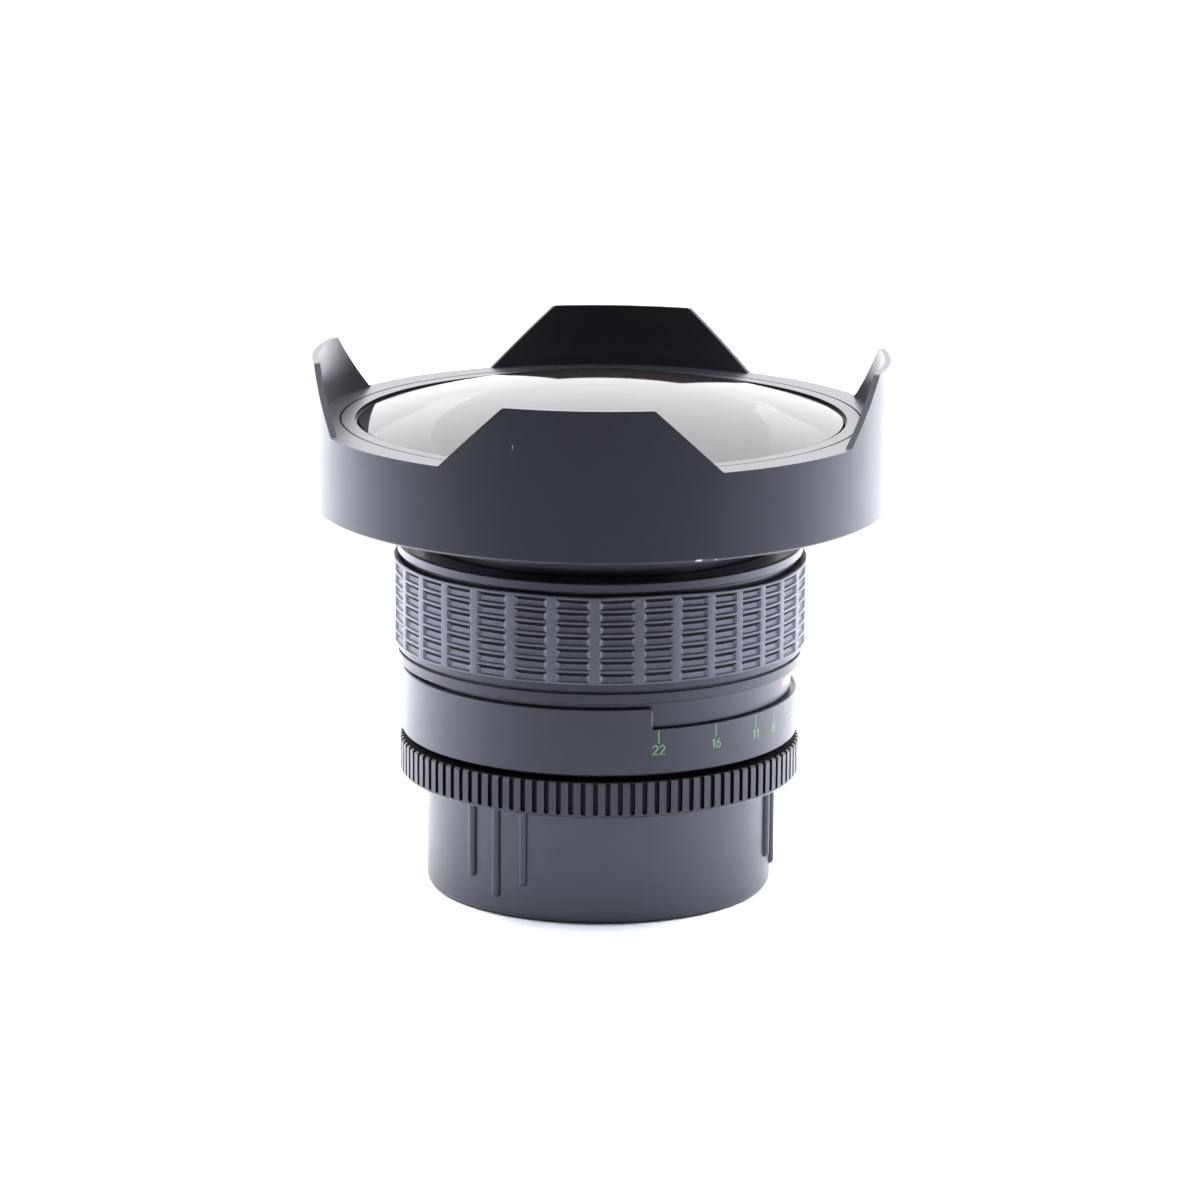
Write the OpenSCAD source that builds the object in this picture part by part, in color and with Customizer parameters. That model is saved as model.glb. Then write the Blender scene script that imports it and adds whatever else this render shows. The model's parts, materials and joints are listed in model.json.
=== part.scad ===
// Medium-format fisheye lens standing on its rear cap, front glass up.
// Millimetres. +Z runs along the optical axis to the front glass, +X is the index
// side of the depth scale, and the origin is the middle of the cap's underside.

/* [Rear cap] */
// Step from the mount flange in to the cap's side
cap_step = 1; // [0.6:0.05:2]
// Wall of the cap
cap_wall = 1.9; // [1.2:0.1:2.2]
// Thickness of the cap's floor
cap_floor = 2; // [1:0.1:4]
// Height of the cap
cap_h = 22.8; // [22:0.1:30]
// Rounding of the cap's lower edge
cap_edge = 1.2; // [0.5:0.1:1.8]
// Width of one half-round grip rib
rib_w = 1.8; // [1.5:0.05:1.8]
// How far a rib stands proud of the cap
rib_proud = 0.9; // [0.7:0.05:0.9]
// Angle between the ribs of a group
rib_pitch = 10.2; // [6:0.1:18]
// Azimuth of the first group of ribs
rib_az = -121.2; // [-180:0.1:180]
// Level where the outer ribs of a group end
rib_side_end = 6.9; // [4:0.1:14]
// Level where the middle rib of a group ends
rib_mid_end = 3.7; // [3.2:0.1:10]
// Height of the cap's bayonet hooks
hook_h = 2; // [1:0.1:2.4]
// Angle that one hook spans
hook_angle = 40; // [20:1:50]

/* [Mount] */
// Width of the flange face outside the spigot
flange_w = 6; // [5.6:0.05:7]
// Wall of the spigot
spigot_wall = 3.5; // [2.5:0.1:4]
// Length of the spigot below the flange
spigot_len = 10.8; // [9:0.1:14]
// Step from the spigot in to its nose below the lugs
nose_step = 0.5; // [0.3:0.05:1]
// Reach of a bayonet lug beyond the spigot
lug_reach = 2.4; // [1.5:0.1:2.5]
// Thickness of a lug
lug_h = 2.2; // [1.5:0.1:3]
// Distance from the flange to the lugs
lug_drop = 3.5; // [3:0.1:4.5]
// Angle that one lug spans
lug_angle = 58; // [40:1:58]
// Reach of the mount flange beyond the journal
flange_reach = 0.8; // [0.6:0.05:1.2]
// Thickness of the mount flange
flange_t = 2.5; // [2:0.1:2.6]
// Thickness of the web inside the mount
web_t = 2; // [1:0.1:2.5]
// Distance of the mount screws from the spigot
screw_in = 1.7; // [1.6:0.05:2]
// Radius of a mount screw's head
screw_head_r = 1.3; // [1:0.05:1.5]
// Radius of a mount screw's shank
screw_r = 0.8; // [0.5:0.05:0.9]
// Length of a mount screw
screw_len = 4.2; // [3.5:0.1:5]

/* [Barrel] */
// Wall of the journal that carries the aperture ring
journal_wall = 2.2; // [1.6:0.05:2.4]
// Step from the journal out to the depth-scale ring's seat
seat_step = 0.8; // [0.6:0.05:1.4]
// Wall of the barrel's collar outside the nut's flange
collar_wall = 0.74; // [0.6:0.02:0.9]
// Room between the guide tube and the barrel's outer wall
barrel_room = 1.3; // [1:0.05:1.7]
// Wall of the guide tube
guide_wall = 2.3; // [1.6:0.1:2.4]
// Distance from the focus ring's top down to the guide tube's top
guide_drop = 5.05; // [4.5:0.05:9]
// Thickness of the barrel's base plate
base_t = 2.8; // [2.4:0.1:3.1]
// Width of a guide key
key_w = 4; // [3:0.1:6]
// Height of a guide key
key_h = 4; // [3:0.1:6]
// Radial reach of a guide key out of the guide tube
key_reach = 1.4; // [0.8:0.1:1.6]

/* [Aperture ring] */
// Reach of the knurled ring beyond the depth-scale ring
aring_reach = 0.55; // [0:0.05:2]
// Height of the knurled ring
aring_h = 7.1; // [7:0.1:9]
// How far the ring starts above the flange face
aring_lift = 0.6; // [0.3:0.1:1]
// Number of knurl grooves
knurl_n = 104; // [60:2:120]
// Width of a knurl groove
knurl_w = 1; // [0.5:0.05:1.2]
// Depth of a knurl groove
knurl_d = 0.75; // [0.3:0.05:1.2]
// Chamfer of the ring's edges
knurl_chamfer = 0.35; // [0.2:0.05:0.6]
// Plain margin below the grooves
knurl_margin = 0.2; // [0.1:0.05:0.6]
// Thickness of the arm that drives the iris
arm_t = 1.4; // [1:0.1:1.5]
// Width of the arm
arm_w = 5; // [4:0.1:6]
// Turn of the aperture ring from open to closed
aperture_turn = 54; // [30:1:54]

/* [Depth scale] */
// Outside radius of the depth-scale ring, which sets the barrel's radii
dof_r = 40; // [37:0.1:44]
// Wall of the ring's skirt over the distance scale
skirt_wall = 0.6; // [0.4:0.05:1]
// Height of the depth-scale ring
dof_h = 13.5; // [13:0.1:16]
// Dark gap between the knurled ring and the depth-scale ring
dof_gap = 1.3; // [0.6:0.1:2]
// Height of the window over the distance scale
window_h = 4.35; // [3:0.05:4.7]
// Half angle of the window
window_half = 70.5; // [40:0.5:85]
// Wall of the distance-scale sleeve
scale_wall = 0.5; // [0.4:0.05:0.8]
// Dark gap between the ring's skirt and the sleeve
scale_gap = 0.6; // [0.3:0.05:0.65]

/* [Focus ring] */
// Reach of the focus ring's lips beyond the rubber's seat
lip_reach = 0.9; // [0.6:0.05:1.4]
// Wall of the focus ring under the rubber
shell_wall = 1.7; // [1.5:0.05:1.9]
// Gap between the depth-scale ring and the focus ring
focus_gap = 1.25; // [0.4:0.05:1.5]
// Height of the lower band
band_h = 2.15; // [1:0.05:3]
// Height of the dark line above the band
line_h = 0.5; // [0.3:0.05:1]
// Height of the lip under the rubber
lower_lip_h = 1.5; // [1:0.1:2.5]
// Height of the rubber grip
grip_h = 17.75; // [16:0.05:20]
// Thickness of the rubber grip
grip_t = 1.75; // [1.5:0.05:3]
// Columns of pockets in the rubber
grip_columns = 32; // [24:1:36]
// Rows of pockets in the rubber
grip_rows = 7; // [5:1:8]
// Width of the land between two columns
column_land = 1.8; // [1:0.1:2.4]
// Height of the land between two rows
row_land = 0.5; // [0.3:0.05:0.8]
// Plain edge above the top row
top_land = 0.7; // [0.4:0.05:1]
// Plain edge below the bottom row
bottom_land = 0.43; // [0.3:0.01:0.8]
// Depth of a pocket
pocket_d = 0.8; // [0.5:0.05:1.3]
// Slope of a pocket's upper wall
upper_taper = 0.9; // [0.3:0.05:1]
// Slope of a pocket's lower wall
lower_taper = 0.25; // [0.1:0.05:0.4]
// Slope of a pocket's side walls
side_taper = 0.7; // [0.2:0.05:1]
// Gap between the rubber and the upper lip
upper_gap = 0.45; // [0.2:0.05:1]
// Height of the upper lip
upper_lip_h = 2.15; // [1.5:0.05:3]
// Wall of the helicoid nut
nut_wall = 1.5; // [1.2:0.05:1.6]
// Height of the nut's flange
nut_flange_h = 1.4; // [1:0.05:1.6]
// Reach of the nut's flange
nut_flange_reach = 0.8; // [0.5:0.05:0.85]

/* [Hood] */
// Outside radius of the hood, the lens's widest part
hood_r = 58; // [56.5:0.1:62]
// Open neck between the focus ring and the hood
neck_gap = 7.45; // [6:0.05:10]
// Wall of the neck
neck_wall = 2.6; // [2.4:0.05:2.6]
// Step of the neck below the hood
neck_step = 0.9; // [0.4:0.05:1.4]
// Level of that step above the focus ring
neck_step_rise = 1.2; // [0.6:0.05:3]
// Height of the hood from its underside to the shelf
skirt_h = 17.2; // [16.6:0.1:20]
// Thickness of the hood's floor
floor_t = 3; // [2:0.1:3.5]
// Height of the petals above the shelf
petal_h = 12.7; // [9:0.1:16]
// Wall of the petals
petal_wall = 1.3; // [0.9:0.1:2]
// Angle from a petal's middle to the middle of its flank
flank_mid = 21.4; // [17:0.1:26]
// Slope of the petals' flanks
flank_angle = 42.5; // [36:0.5:60]
// Rounding of the petals' top corners
petal_round = 1.2; // [0.4:0.1:2.5]
// Rounding in the notch's lower corners
notch_round = 0.8; // [0.3:0.1:2]
// Chamfer of the hood's lower edge
hood_chamfer = 0.5; // [0.2:0.05:1]

/* [Front glass] */
// Width of the shelf between the petals and the front ring
shelf_w = 4.2; // [3:0.05:5]
// Dark gap round the front ring
ring_gap = 0.2; // [0.1:0.05:0.5]
// Width of the front ring
ring_w = 2.95; // [2:0.05:4]
// Depth of the front ring
ring_t = 3.2; // [2.9:0.1:4]
// Step inside the front ring
ring_step = 0.9; // [0.4:0.1:1.2]
// Step from the front ring's edge in to the front glass
front_step = 0.75; // [0.4:0.05:1]
// Curvature radius of the dome
front_roc = 165; // [150:0.5:200]
// Depth of the dome's rim under the shelf
rim_drop = 0.34; // [0.2:0.02:0.6]
// Depth of the glass's shoulder under the shelf
lip_drop = 1.95; // [1.7:0.05:2.2]
// Thickness of the front glass on the axis
front_ct = 3.1; // [2.6:0.1:4]
// Curvature radius of the hollow back
front_back_roc = 37.7; // [37:0.1:39]
// Thickness of the gasket under the front glass
gasket_t = 0.4; // [0.2:0.05:0.8]

/* [Inner glass] */
// Wall of the cup round the second glass
cup_wall = 2.98; // [2.8:0.02:3.4]
// Curvature radius of the second glass's front
second_roc = 62; // [56:0.5:70]
// Curvature radius of the second glass's hollow back
second_back_roc = 21; // [20:0.1:22]
// Radius of the third group
third_r = 15; // [14:0.1:15.4]
// Radius of the fifth and sixth glasses
fifth_r = 11; // [10.6:0.05:11.2]
// Radius of the seventh and eighth glasses
seventh_r = 12.5; // [12.3:0.05:12.7]
// Radius of the ninth and tenth glasses
ninth_r = 15; // [14.6:0.05:15.2]
// Radius of the rear cell
rear_r = 18; // [17.6:0.05:18.4]
// Radius of the rear filter glass
filter_r = 16.25; // [15.8:0.05:16.4]
// Height of the rear filter's ring
filter_h = 4.4; // [3.5:0.1:5]
// Thickness of the rear filter glass
filter_t = 2; // [1.5:0.1:2.4]

/* [Iris] */
// Radius of the iris when it is open
iris_open_r = 7.2; // [6.8:0.05:7.4]
// Outer radius of a blade's band
blade_outer = 11.4; // [11:0.05:11.6]
// Radius of the blades' pivots
pivot_r = 13.6; // [13.3:0.05:13.9]
// Turn of a blade from open to closed
blade_turn = 26; // [15:1:27]
// Thickness of a blade
blade_t = 0.14; // [0.08:0.01:0.16]
// Distance from one blade's layer to the next
blade_pitch = 0.24; // [0.22:0.01:0.26]
// Number of blades
blade_n = 6; // [6]
// Distance from a blade's pivot to its drive pin
pin_arm = 4.5; // [4.2:0.1:4.8]
// Radius of the pivots and the drive pins
pin_r = 0.45; // [0.3:0.05:0.5]
// Thickness of the iris drive ring
drive_t = 1.2; // [0.8:0.1:1.3]
// Radius of the post that takes the drive
post_r = 0.55; // [0.4:0.05:0.6]

/* [Stop-down pin] */
// Radius of the pin
plunger_r = 1; // [0.6:0.05:1.1]
// Travel of the pin
plunger_travel = 2.5; // [1.5:0.1:2.6]
// How far the pin reaches below the web
plunger_reach = 5; // [2:0.1:6]
// Wire radius of its spring
wire_r = 0.17; // [0.1:0.01:0.2]
// Turns of its spring
spring_turns = 4.5; // [3:0.5:5]

/* [Fits] */
// Gap between fixed pieces that fit into each other
fit = 0.02; // [0.01:0.005:0.05]
// Gap of a running fit
run = 0.06; // [0.03:0.01:0.1]
// Free gap between pieces that pass each other
free = 0.3; // [0.2:0.05:0.4]
// Lead of the focusing thread
lead = 6.5; // [5:0.1:7]
// Turn of the focus ring from infinity to the near end
focus_turn = 240; // [180:5:260]

/* [Hidden] */
$fn = 96;

// radii, from the barrel's outside inwards
skirt_r_in = dof_r - skirt_wall;
scale_r = skirt_r_in - scale_gap;
scale_r_in = scale_r - scale_wall;
collar_r = scale_r_in - free;
pocket_r = collar_r - collar_wall;
nut_flange_r = pocket_r - run;
nut_r = nut_flange_r - nut_flange_reach;
nut_r_in = nut_r - nut_wall;
neck_r = nut_r_in - free;
neck_in = neck_r - neck_wall;
guide_r = neck_in - free;
guide_bore = guide_r - guide_wall;
barrel_bore = guide_r + barrel_room;
journal_r = barrel_bore + journal_wall;
dof_seat_r = journal_r + seat_step;
flange_r = journal_r + flange_reach;
spigot_r = flange_r - flange_w;
screw_circle = spigot_r + screw_in;
cap_r = flange_r - cap_step;
aring_r = dof_r + aring_reach;
shell_in = scale_r_in;
shell_r = shell_in + shell_wall;
lip_r = shell_r + lip_reach;
grip_r = shell_r + grip_t;

// radii of the front, from the hood inwards
ring_bore = hood_r - petal_wall - shelf_w;
ring_r = ring_bore - ring_gap;
ring_inner = ring_r - ring_w;
dome_r = ring_inner - front_step;
front_r = dome_r + 1.6;

// levels, from the cap upwards
flange_z = cap_h + fit;
aring_z = flange_z + aring_lift;
base_z = flange_z + flange_t;
shoulder_z = aring_z + aring_h + run * 2;
dof_z = aring_z + aring_h + dof_gap;
window_z = dof_z + dof_h - window_h;
dof_top = dof_z + dof_h;
dof_body_top = window_z - free;
focus_z = dof_top + focus_gap;
line_z = focus_z + band_h;
lower_lip_z = line_z + line_h;
grip_z = lower_lip_z + lower_lip_h;
grip_top = grip_z + grip_h;
upper_lip_z = grip_top + upper_gap;
focus_top = upper_lip_z + upper_lip_h;
hood_z = focus_top + neck_gap;
floor_z = hood_z + floor_t;
shelf_z = hood_z + skirt_h;
petal_z = shelf_z + petal_h;

// focus travel
travel = lead * focus_turn / 360;

// barrel
guide_top = focus_top - guide_drop;
base_top = base_z + base_t;
pocket_z = focus_z - free;
nut_z = pocket_z + run * 2;
collar_top = nut_z + nut_flange_h + run * 2;
retainer_h = 1.4;
retainer_r = nut_r + free;
scale_z = dof_body_top + free * 2;
scale_top = grip_z + 1.2;

// the arm and its windows, on the side away from the index
arm_az = 180 - aperture_turn / 2;
arm_z = base_top + 0.6;
arm_in = guide_bore - 4.1;
arm_out = aring_r - knurl_d - 1.4;
arm_bar_out = guide_bore - 0.8;
arm_half = asin(arm_w / 2 / (guide_bore)) + 1.5;
arm_window_z = arm_z - free;
arm_window_h = arm_t + free * 2;
foot_pocket_t = arm_t + fit * 2;

// neck
neck_bottom = collar_top - 1.2;
spigot_top_r = neck_r - 0.6;
key_z = guide_top - key_h;
key_out = guide_r + key_reach;
slot_top = guide_top + free;

// front glass
front_bore = front_r + 0.1;
ring_z = shelf_z - ring_t;
front_z = floor_z + gasket_t + fit;
lip_in = dome_r + 0.2;
lip_z = shelf_z - lip_drop;
front_apex = shelf_z - rim_drop + sag(front_roc, dome_r);
front_back = front_apex - front_ct;
front_back_rim = sqrt(pow(front_back_roc, 2) - pow(front_z - (front_back - front_back_roc), 2));

// second glass in the lens block's cup
block_r = neck_in - fit;
second_r = block_r - cup_wall;
cup_z = floor_z - 11.5;
block_top = floor_z - 0.1;
second_bore = second_r + 0.05;
second_retainer_r = second_r - 1.7;
second_z = cup_z + fit;
second_ring_z = block_top - 1.43;
second_apex = second_ring_z - 0.3 + sag(second_roc, second_retainer_r);
second_back = second_apex - 3.5;
shoulder_block_z = guide_top + 1.2;
block_body_r = guide_bore - 5.4;

// third group, a cemented pair above the iris
third_bore = third_r + 0.05;
third_seat_r = third_r - 1.5;
third_seat_z = cup_z - 12.6;
third_top = cup_z - 3;
third_front = third_top - 1.3;
third_roc = 80;
pair_roc = 24;
pair_z = third_front - 1.5;
fourth_roc = 40;
fourth_back = third_seat_z + fit - sag(fourth_roc, third_seat_r) + 0.03;
cement = 0.03;

// iris chamber
chamber_z = cup_z - 16.8;
chamber_r = block_body_r - 2;
iris_base_t = 1.4;
iris_base_z = chamber_z - iris_base_t - fit;
blade_top = iris_base_z - 0.1;
blade_low = blade_top - blade_pitch * (blade_n - 1) - blade_t;
drive_z = blade_low - 0.2 - drive_t;
block_z = drive_z - 0.15;
drive_out = chamber_r - 0.2;
slot_r = pin_r + 0.08;
pin_from = 90 - blade_turn / 2;
pin_near = norm([pivot_r + pin_arm * cos(pin_from + blade_turn), pin_arm * sin(pin_from + blade_turn)]);
drive_in = pin_near - slot_r - 0.8;
post_z = drive_z + drive_t / 2;
post_out = arm_bar_out - 0.4;
bar_top = post_z + travel + 3;

// rear cell with three cemented pairs
cell_flange_t = 1.8;
cell_top = block_z - fit;
cell_seat_z = cell_top - 1.6;
fifth_bore = fifth_r + 0.05;
fifth_lip = fifth_r - 1.2;
fifth_front = cell_seat_z - 0.1 - sag(40, fifth_lip);
fifth_pair = fifth_front - 1.5;
sixth_back = fifth_pair - 8.2;
spacer_a_in = fifth_r - 1.2;
spacer_a_top = sixth_back + sag(22, spacer_a_in) - 0.05;
seventh_front = sixth_back - 0.4;
seventh_bore = seventh_r + 0.05;
spacer_a_z = seventh_front - sag(30, spacer_a_in) + 0.05;
step_b_z = seventh_front - sag(30, fifth_bore) + 0.05;
seventh_pair = seventh_front - 7.7;
eighth_back = seventh_pair - 1.2;
eighth_z = eighth_back - 2.4;
spacer_b_in = seventh_r - 1.5;
spacer_b_top = eighth_z - fit;
ninth_front = eighth_z - 1;
ninth_bore = ninth_r + 0.05;
spacer_b_z = ninth_front - sag(45, spacer_b_in) + 0.05;
step_c_z = ninth_front - sag(45, seventh_bore) + 0.05;
ninth_pair = ninth_front - 7;
tenth_back = ninth_pair - 2.5;
rear_retainer_in = ninth_r - 2;
rear_retainer_top = tenth_back + sag(60, rear_retainer_in) - 0.05;
cell_z = tenth_back - 0.5;
filter_z = cell_z - fit - filter_h;
filter_bore = filter_r + 0.05;

// mount
spigot_in = spigot_r - spigot_wall;
spigot_z = flange_z - spigot_len;
lug_z = flange_z - lug_drop - lug_h;
lug_r = spigot_r + lug_reach;
nose_r = spigot_r - nose_step;
web_z = flange_z - 3.8;
web_in = rear_r + 0.6;
hook_in = spigot_r + 0.6;
cap_in = cap_r - cap_wall;
hook_z = flange_z - 0.7 - hook_h;

// stop-down pin
plunger_az = 60;
plunger_circle = (web_in + spigot_in) / 2;
collar_pin_r = plunger_r + 0.9;
collar_pin_z = web_z + web_t + 0.1;
collar_pin_t = 1;
spring_z = collar_pin_z + collar_pin_t;
spring_top = base_z + 1.8;
plunger_top = base_top + 0.5;
spring_mean = plunger_r + wire_r + 0.2;

// depth of a spherical cap of curvature radius roc at radius r
function sag(roc, r) = roc - sqrt(roc * roc - r * r);
// points of an arc
function arc(cx, cy, r, a0, a1, n = 8) =
    [for (i = [0:n]) let (a = a0 + (a1 - a0) * i / n) [cx + r * cos(a), cy + r * sin(a)]];
function flip(points) = [for (i = [len(points) - 1:-1:0]) [-points[i][0], points[i][1]]];
function turned(v, a) = [v[0] * cos(a) - v[1] * sin(a), v[0] * sin(a) + v[1] * cos(a)];

// ring of rectangular section
module tube(r_in, r_out, z0, z1) {
    rotate_extrude() translate([r_in, z0]) square([r_out - r_in, z1 - z0]);
}

// part of such a ring, centred on an azimuth
module sector(r_in, r_out, z0, z1, az, half) {
    rotate([0, 0, az - half]) rotate_extrude(angle = 2 * half)
        translate([r_in, z0]) square([r_out - r_in, z1 - z0]);
}

// flat slot with a round lower end, standing on the lens's side and pointing outwards
module upright(r0, r1, w, z0, z1) {
    translate([r0, 0, 0]) rotate([90, 0, 90]) linear_extrude(r1 - r0) {
        translate([0, z0 + w / 2]) circle(d = w);
        translate([-w / 2, z0 + w / 2]) square([w, z1 - z0 - w / 2]);
    }
}

// round bar with a domed lower end
module bead(r, z0, z1) {
    rotate([0, 0, 180]) rotate_extrude($fn = 32)
        polygon(concat([[0, z0]], arc(0, z0 + r, r, -75, 0, 5), [[r, z1], [0, z1]]));
}

// a glass between two spheres: a positive front bulges up, a positive back is hollow from below
module glass(r, z0, z1, front, front_roc, back, back_roc) {
    difference() {
        intersection() {
            translate([0, 0, z0]) cylinder(r = r, h = z1 - z0);
            if (front_roc > 0) translate([0, 0, front - front_roc]) sphere(r = front_roc);
            if (back_roc < 0) translate([0, 0, back - back_roc]) sphere(r = -back_roc);
        }
        if (front_roc < 0) translate([0, 0, front - front_roc]) sphere(r = -front_roc);
        if (back_roc > 0) translate([0, 0, back - back_roc]) sphere(r = back_roc);
    }
}

module rear_cap() {
    color([0.10, 0.10, 0.11]) {
        rotate_extrude() polygon(concat(
            [[0, 0]],
            arc(cap_r - cap_edge, cap_edge, cap_edge, -90, 0),
            [[cap_r, cap_h], [cap_in, cap_h], [cap_in, cap_floor], [0, cap_floor]]));
        for (g = [0:120:240], k = [-1:1])
            rotate([0, 0, rib_az + g + k * rib_pitch])
                translate([cap_r + rib_proud - rib_w / 2, 0, 0])
                    bead(rib_w / 2, k == 0 ? rib_mid_end : rib_side_end, cap_h - 0.3);
        for (g = [30, 150, 270])
            sector(hook_in, cap_in + cap_wall / 2, hook_z, hook_z + hook_h, g, hook_angle / 2);
    }
}

module main_barrel() {
    color([0.12, 0.12, 0.13]) difference() {
        rotate_extrude() polygon([
            [web_in, base_z], [journal_r, base_z], [journal_r, shoulder_z], [dof_seat_r, shoulder_z],
            [dof_seat_r, dof_body_top + fit], [collar_r, dof_body_top + fit], [collar_r, collar_top],
            [pocket_r, collar_top], [pocket_r, pocket_z], [barrel_bore, pocket_z],
            [barrel_bore, base_top], [guide_r, base_top], [guide_r, guide_top],
            [guide_bore, guide_top], [guide_bore, base_top], [web_in, base_top]]);
        // windows for the arm
        sector(guide_bore - 1, journal_r + 1, arm_window_z, arm_window_z + arm_window_h,
            arm_az + aperture_turn / 2, aperture_turn / 2 + arm_half);
        // notches for the guide keys
        for (a = [90, 270]) rotate([0, 0, a])
            translate([guide_bore - 1, -key_w / 2 - fit, key_z - fit])
                cube([guide_wall + 2, key_w + fit * 2, key_h + 1]);
        // pilot holes for the mount screws
        for (g = [30, 150, 270], k = [-1, 1]) rotate([0, 0, g + k * 14])
            translate([screw_circle, 0, base_z - 1]) cylinder(r = screw_r + fit, h = base_t + 0.5, $fn = 24);
        // guide and spring seat of the stop-down pin
        rotate([0, 0, plunger_az]) translate([plunger_circle, 0, base_z - 1]) {
            cylinder(r = plunger_r + run, h = base_t + 2, $fn = 32);
            cylinder(r = collar_pin_r + 0.2, h = spring_top - base_z + 1, $fn = 32);
        }
    }
}

module dof_ring() {
    color([0.11, 0.11, 0.12]) difference() {
        rotate_extrude() polygon([
            [dof_seat_r + fit, dof_z], [dof_r - 0.3, dof_z], [dof_r, dof_z + 0.3], [dof_r, dof_top - 0.2],
            [dof_r - 0.2, dof_top], [skirt_r_in, dof_top], [skirt_r_in, dof_body_top],
            [dof_seat_r + fit, dof_body_top]]);
        // window on the index side
        sector(skirt_r_in - 1, dof_r + 1, window_z, dof_top + 1, 0, window_half);
    }
}

module mount_ring() {
    color([0.72, 0.73, 0.75]) difference() {
        union() {
            rotate_extrude() polygon([
                [web_in, web_z], [spigot_in, web_z], [spigot_in, spigot_z + 0.4],
                [spigot_in + 0.4, spigot_z], [nose_r - 0.4, spigot_z], [nose_r, spigot_z + 0.4],
                [nose_r, lug_z - 0.3], [spigot_r, lug_z - 0.3], [spigot_r, flange_z],
                [flange_r, flange_z], [flange_r, base_z - fit],
                [spigot_in, base_z - fit], [spigot_in, web_z + web_t], [web_in, web_z + web_t]]);
            for (g = [90, 210, 330])
                sector(spigot_r - 1, lug_r, lug_z, lug_z + lug_h, g, lug_angle / 2);
        }
        for (g = [30, 150, 270], k = [-1, 1]) rotate([0, 0, g + k * 14])
            translate([screw_circle, 0, flange_z]) screw_shape(fit);
        rotate([0, 0, plunger_az]) translate([plunger_circle, 0, web_z - 1])
            cylinder(r = plunger_r + run, h = web_t + 2, $fn = 32);
    }
}

// countersunk screw pointing up, its head flush with z = 0
module screw_shape(more = 0) {
    rotate_extrude($fn = 32) polygon([
        [0, -more], [screw_head_r + more, -more], [screw_head_r + more, 0.2],
        [screw_r + more, 0.2 + screw_head_r - screw_r], [screw_r + more, screw_len + more],
        [0, screw_len + more]]);
}

module mount_screws() {
    color([0.6, 0.6, 0.62])
        for (g = [30, 150, 270], k = [-1, 1]) rotate([0, 0, g + k * 14])
            translate([screw_circle, 0, flange_z]) difference() {
                screw_shape();
                translate([-screw_head_r - 1, -0.18, -1]) cube([screw_head_r * 2 + 2, 0.36, 1.4]);
            }
}

module guide_keys() {
    color([0.75, 0.68, 0.45])
        for (a = [90, 270]) rotate([0, 0, a])
            translate([guide_bore + fit, -key_w / 2, key_z])
                cube([key_out - guide_bore - fit, key_w, key_h]);
}

module nut_retainer() {
    color([0.55, 0.55, 0.57]) tube(retainer_r, collar_r, collar_top + fit, collar_top + fit + retainer_h);
}

module focus_ring() {
    color([0.12, 0.12, 0.13]) rotate_extrude() polygon([
        [scale_r + fit, focus_z], [lip_r - 0.2, focus_z], [lip_r, focus_z + 0.2], [lip_r, line_z - 0.15],
        [lip_r - 0.15, line_z], [shell_r + 0.2, line_z], [shell_r + 0.2, lower_lip_z],
        [lip_r - 0.15, lower_lip_z],
        [lip_r, lower_lip_z + 0.15], [lip_r, grip_z], [shell_r, grip_z], [shell_r, grip_top],
        [shell_r + 0.3, grip_top], [shell_r + 0.3, upper_lip_z], [lip_r - 0.2, upper_lip_z],
        [lip_r, upper_lip_z + 0.2], [lip_r, focus_top - 0.4], [lip_r - 0.4, focus_top],
        [nut_r + fit, focus_top],
        [nut_r + fit, upper_lip_z + 0.4], [shell_in, upper_lip_z + 0.4], [shell_in, scale_top + fit],
        [scale_r + fit, scale_top + fit]]);
}

module grip_rubber() {
    z0 = grip_z + fit;
    h = grip_h - fit * 2;
    pitch = (h - top_land - bottom_land + row_land) / grip_rows;
    mouth = pitch - row_land;
    floor_r = grip_r - pocket_d;
    foot = column_land / 2 + side_taper;
    side = [[floor_r - 0.3, foot], [floor_r, foot], [grip_r, column_land / 2], [grip_r + 0.5, column_land / 2]];
    color([0.09, 0.09, 0.10]) union() {
        difference() {
            tube(shell_r + fit, grip_r, z0, z0 + h);
            for (i = [0:grip_rows - 1]) translate([0, 0, z0 + bottom_land + i * pitch])
                rotate_extrude() polygon([
                    [floor_r, lower_taper], [grip_r, 0], [grip_r + 1, 0],
                    [grip_r + 1, mouth], [grip_r, mouth], [floor_r, mouth - upper_taper]]);
        }
        intersection() {
            cylinder(r = grip_r, h = z0 + h);
            for (i = [0:grip_columns - 1]) rotate([0, 0, i * 360 / grip_columns - 87])
                translate([0, 0, z0 + bottom_land / 2])
                    linear_extrude(h - (top_land + bottom_land) / 2)
                        polygon(concat(side, [for (i = [3:-1:0]) [side[i][0], -side[i][1]]]));
        }
    }
}

module distance_scale() {
    color([0.14, 0.14, 0.15]) tube(scale_r_in, scale_r, scale_z, scale_top);
}

module helicoid_nut() {
    color([0.78, 0.65, 0.35]) rotate_extrude() polygon([
        [nut_r_in, nut_z], [nut_flange_r, nut_z], [nut_flange_r, nut_z + nut_flange_h],
        [nut_r, nut_z + nut_flange_h], [nut_r, focus_top - 0.1], [nut_r_in, focus_top - 0.1]]);
}

// all that lies on the gap's side of one petal's flank, which runs along the radius
module beyond_flank() {
    half = petal_h / tan(flank_angle) / 2;
    k = tan(flank_angle / 2);
    translate([5, 0, 0]) rotate([90, 0, 90]) linear_extrude(hood_r) polygon(concat(
        [[-hood_r - 10, petal_z + 1], [-hood_r - 10, shelf_z]],
        arc(-half - notch_round * k, shelf_z + notch_round, notch_round, -90, -90 + flank_angle),
        arc(half + petal_round * k, petal_z - petal_round, petal_round, 90 + flank_angle, 90),
        [[half + petal_round * k, petal_z + 1]]));
}

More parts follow.
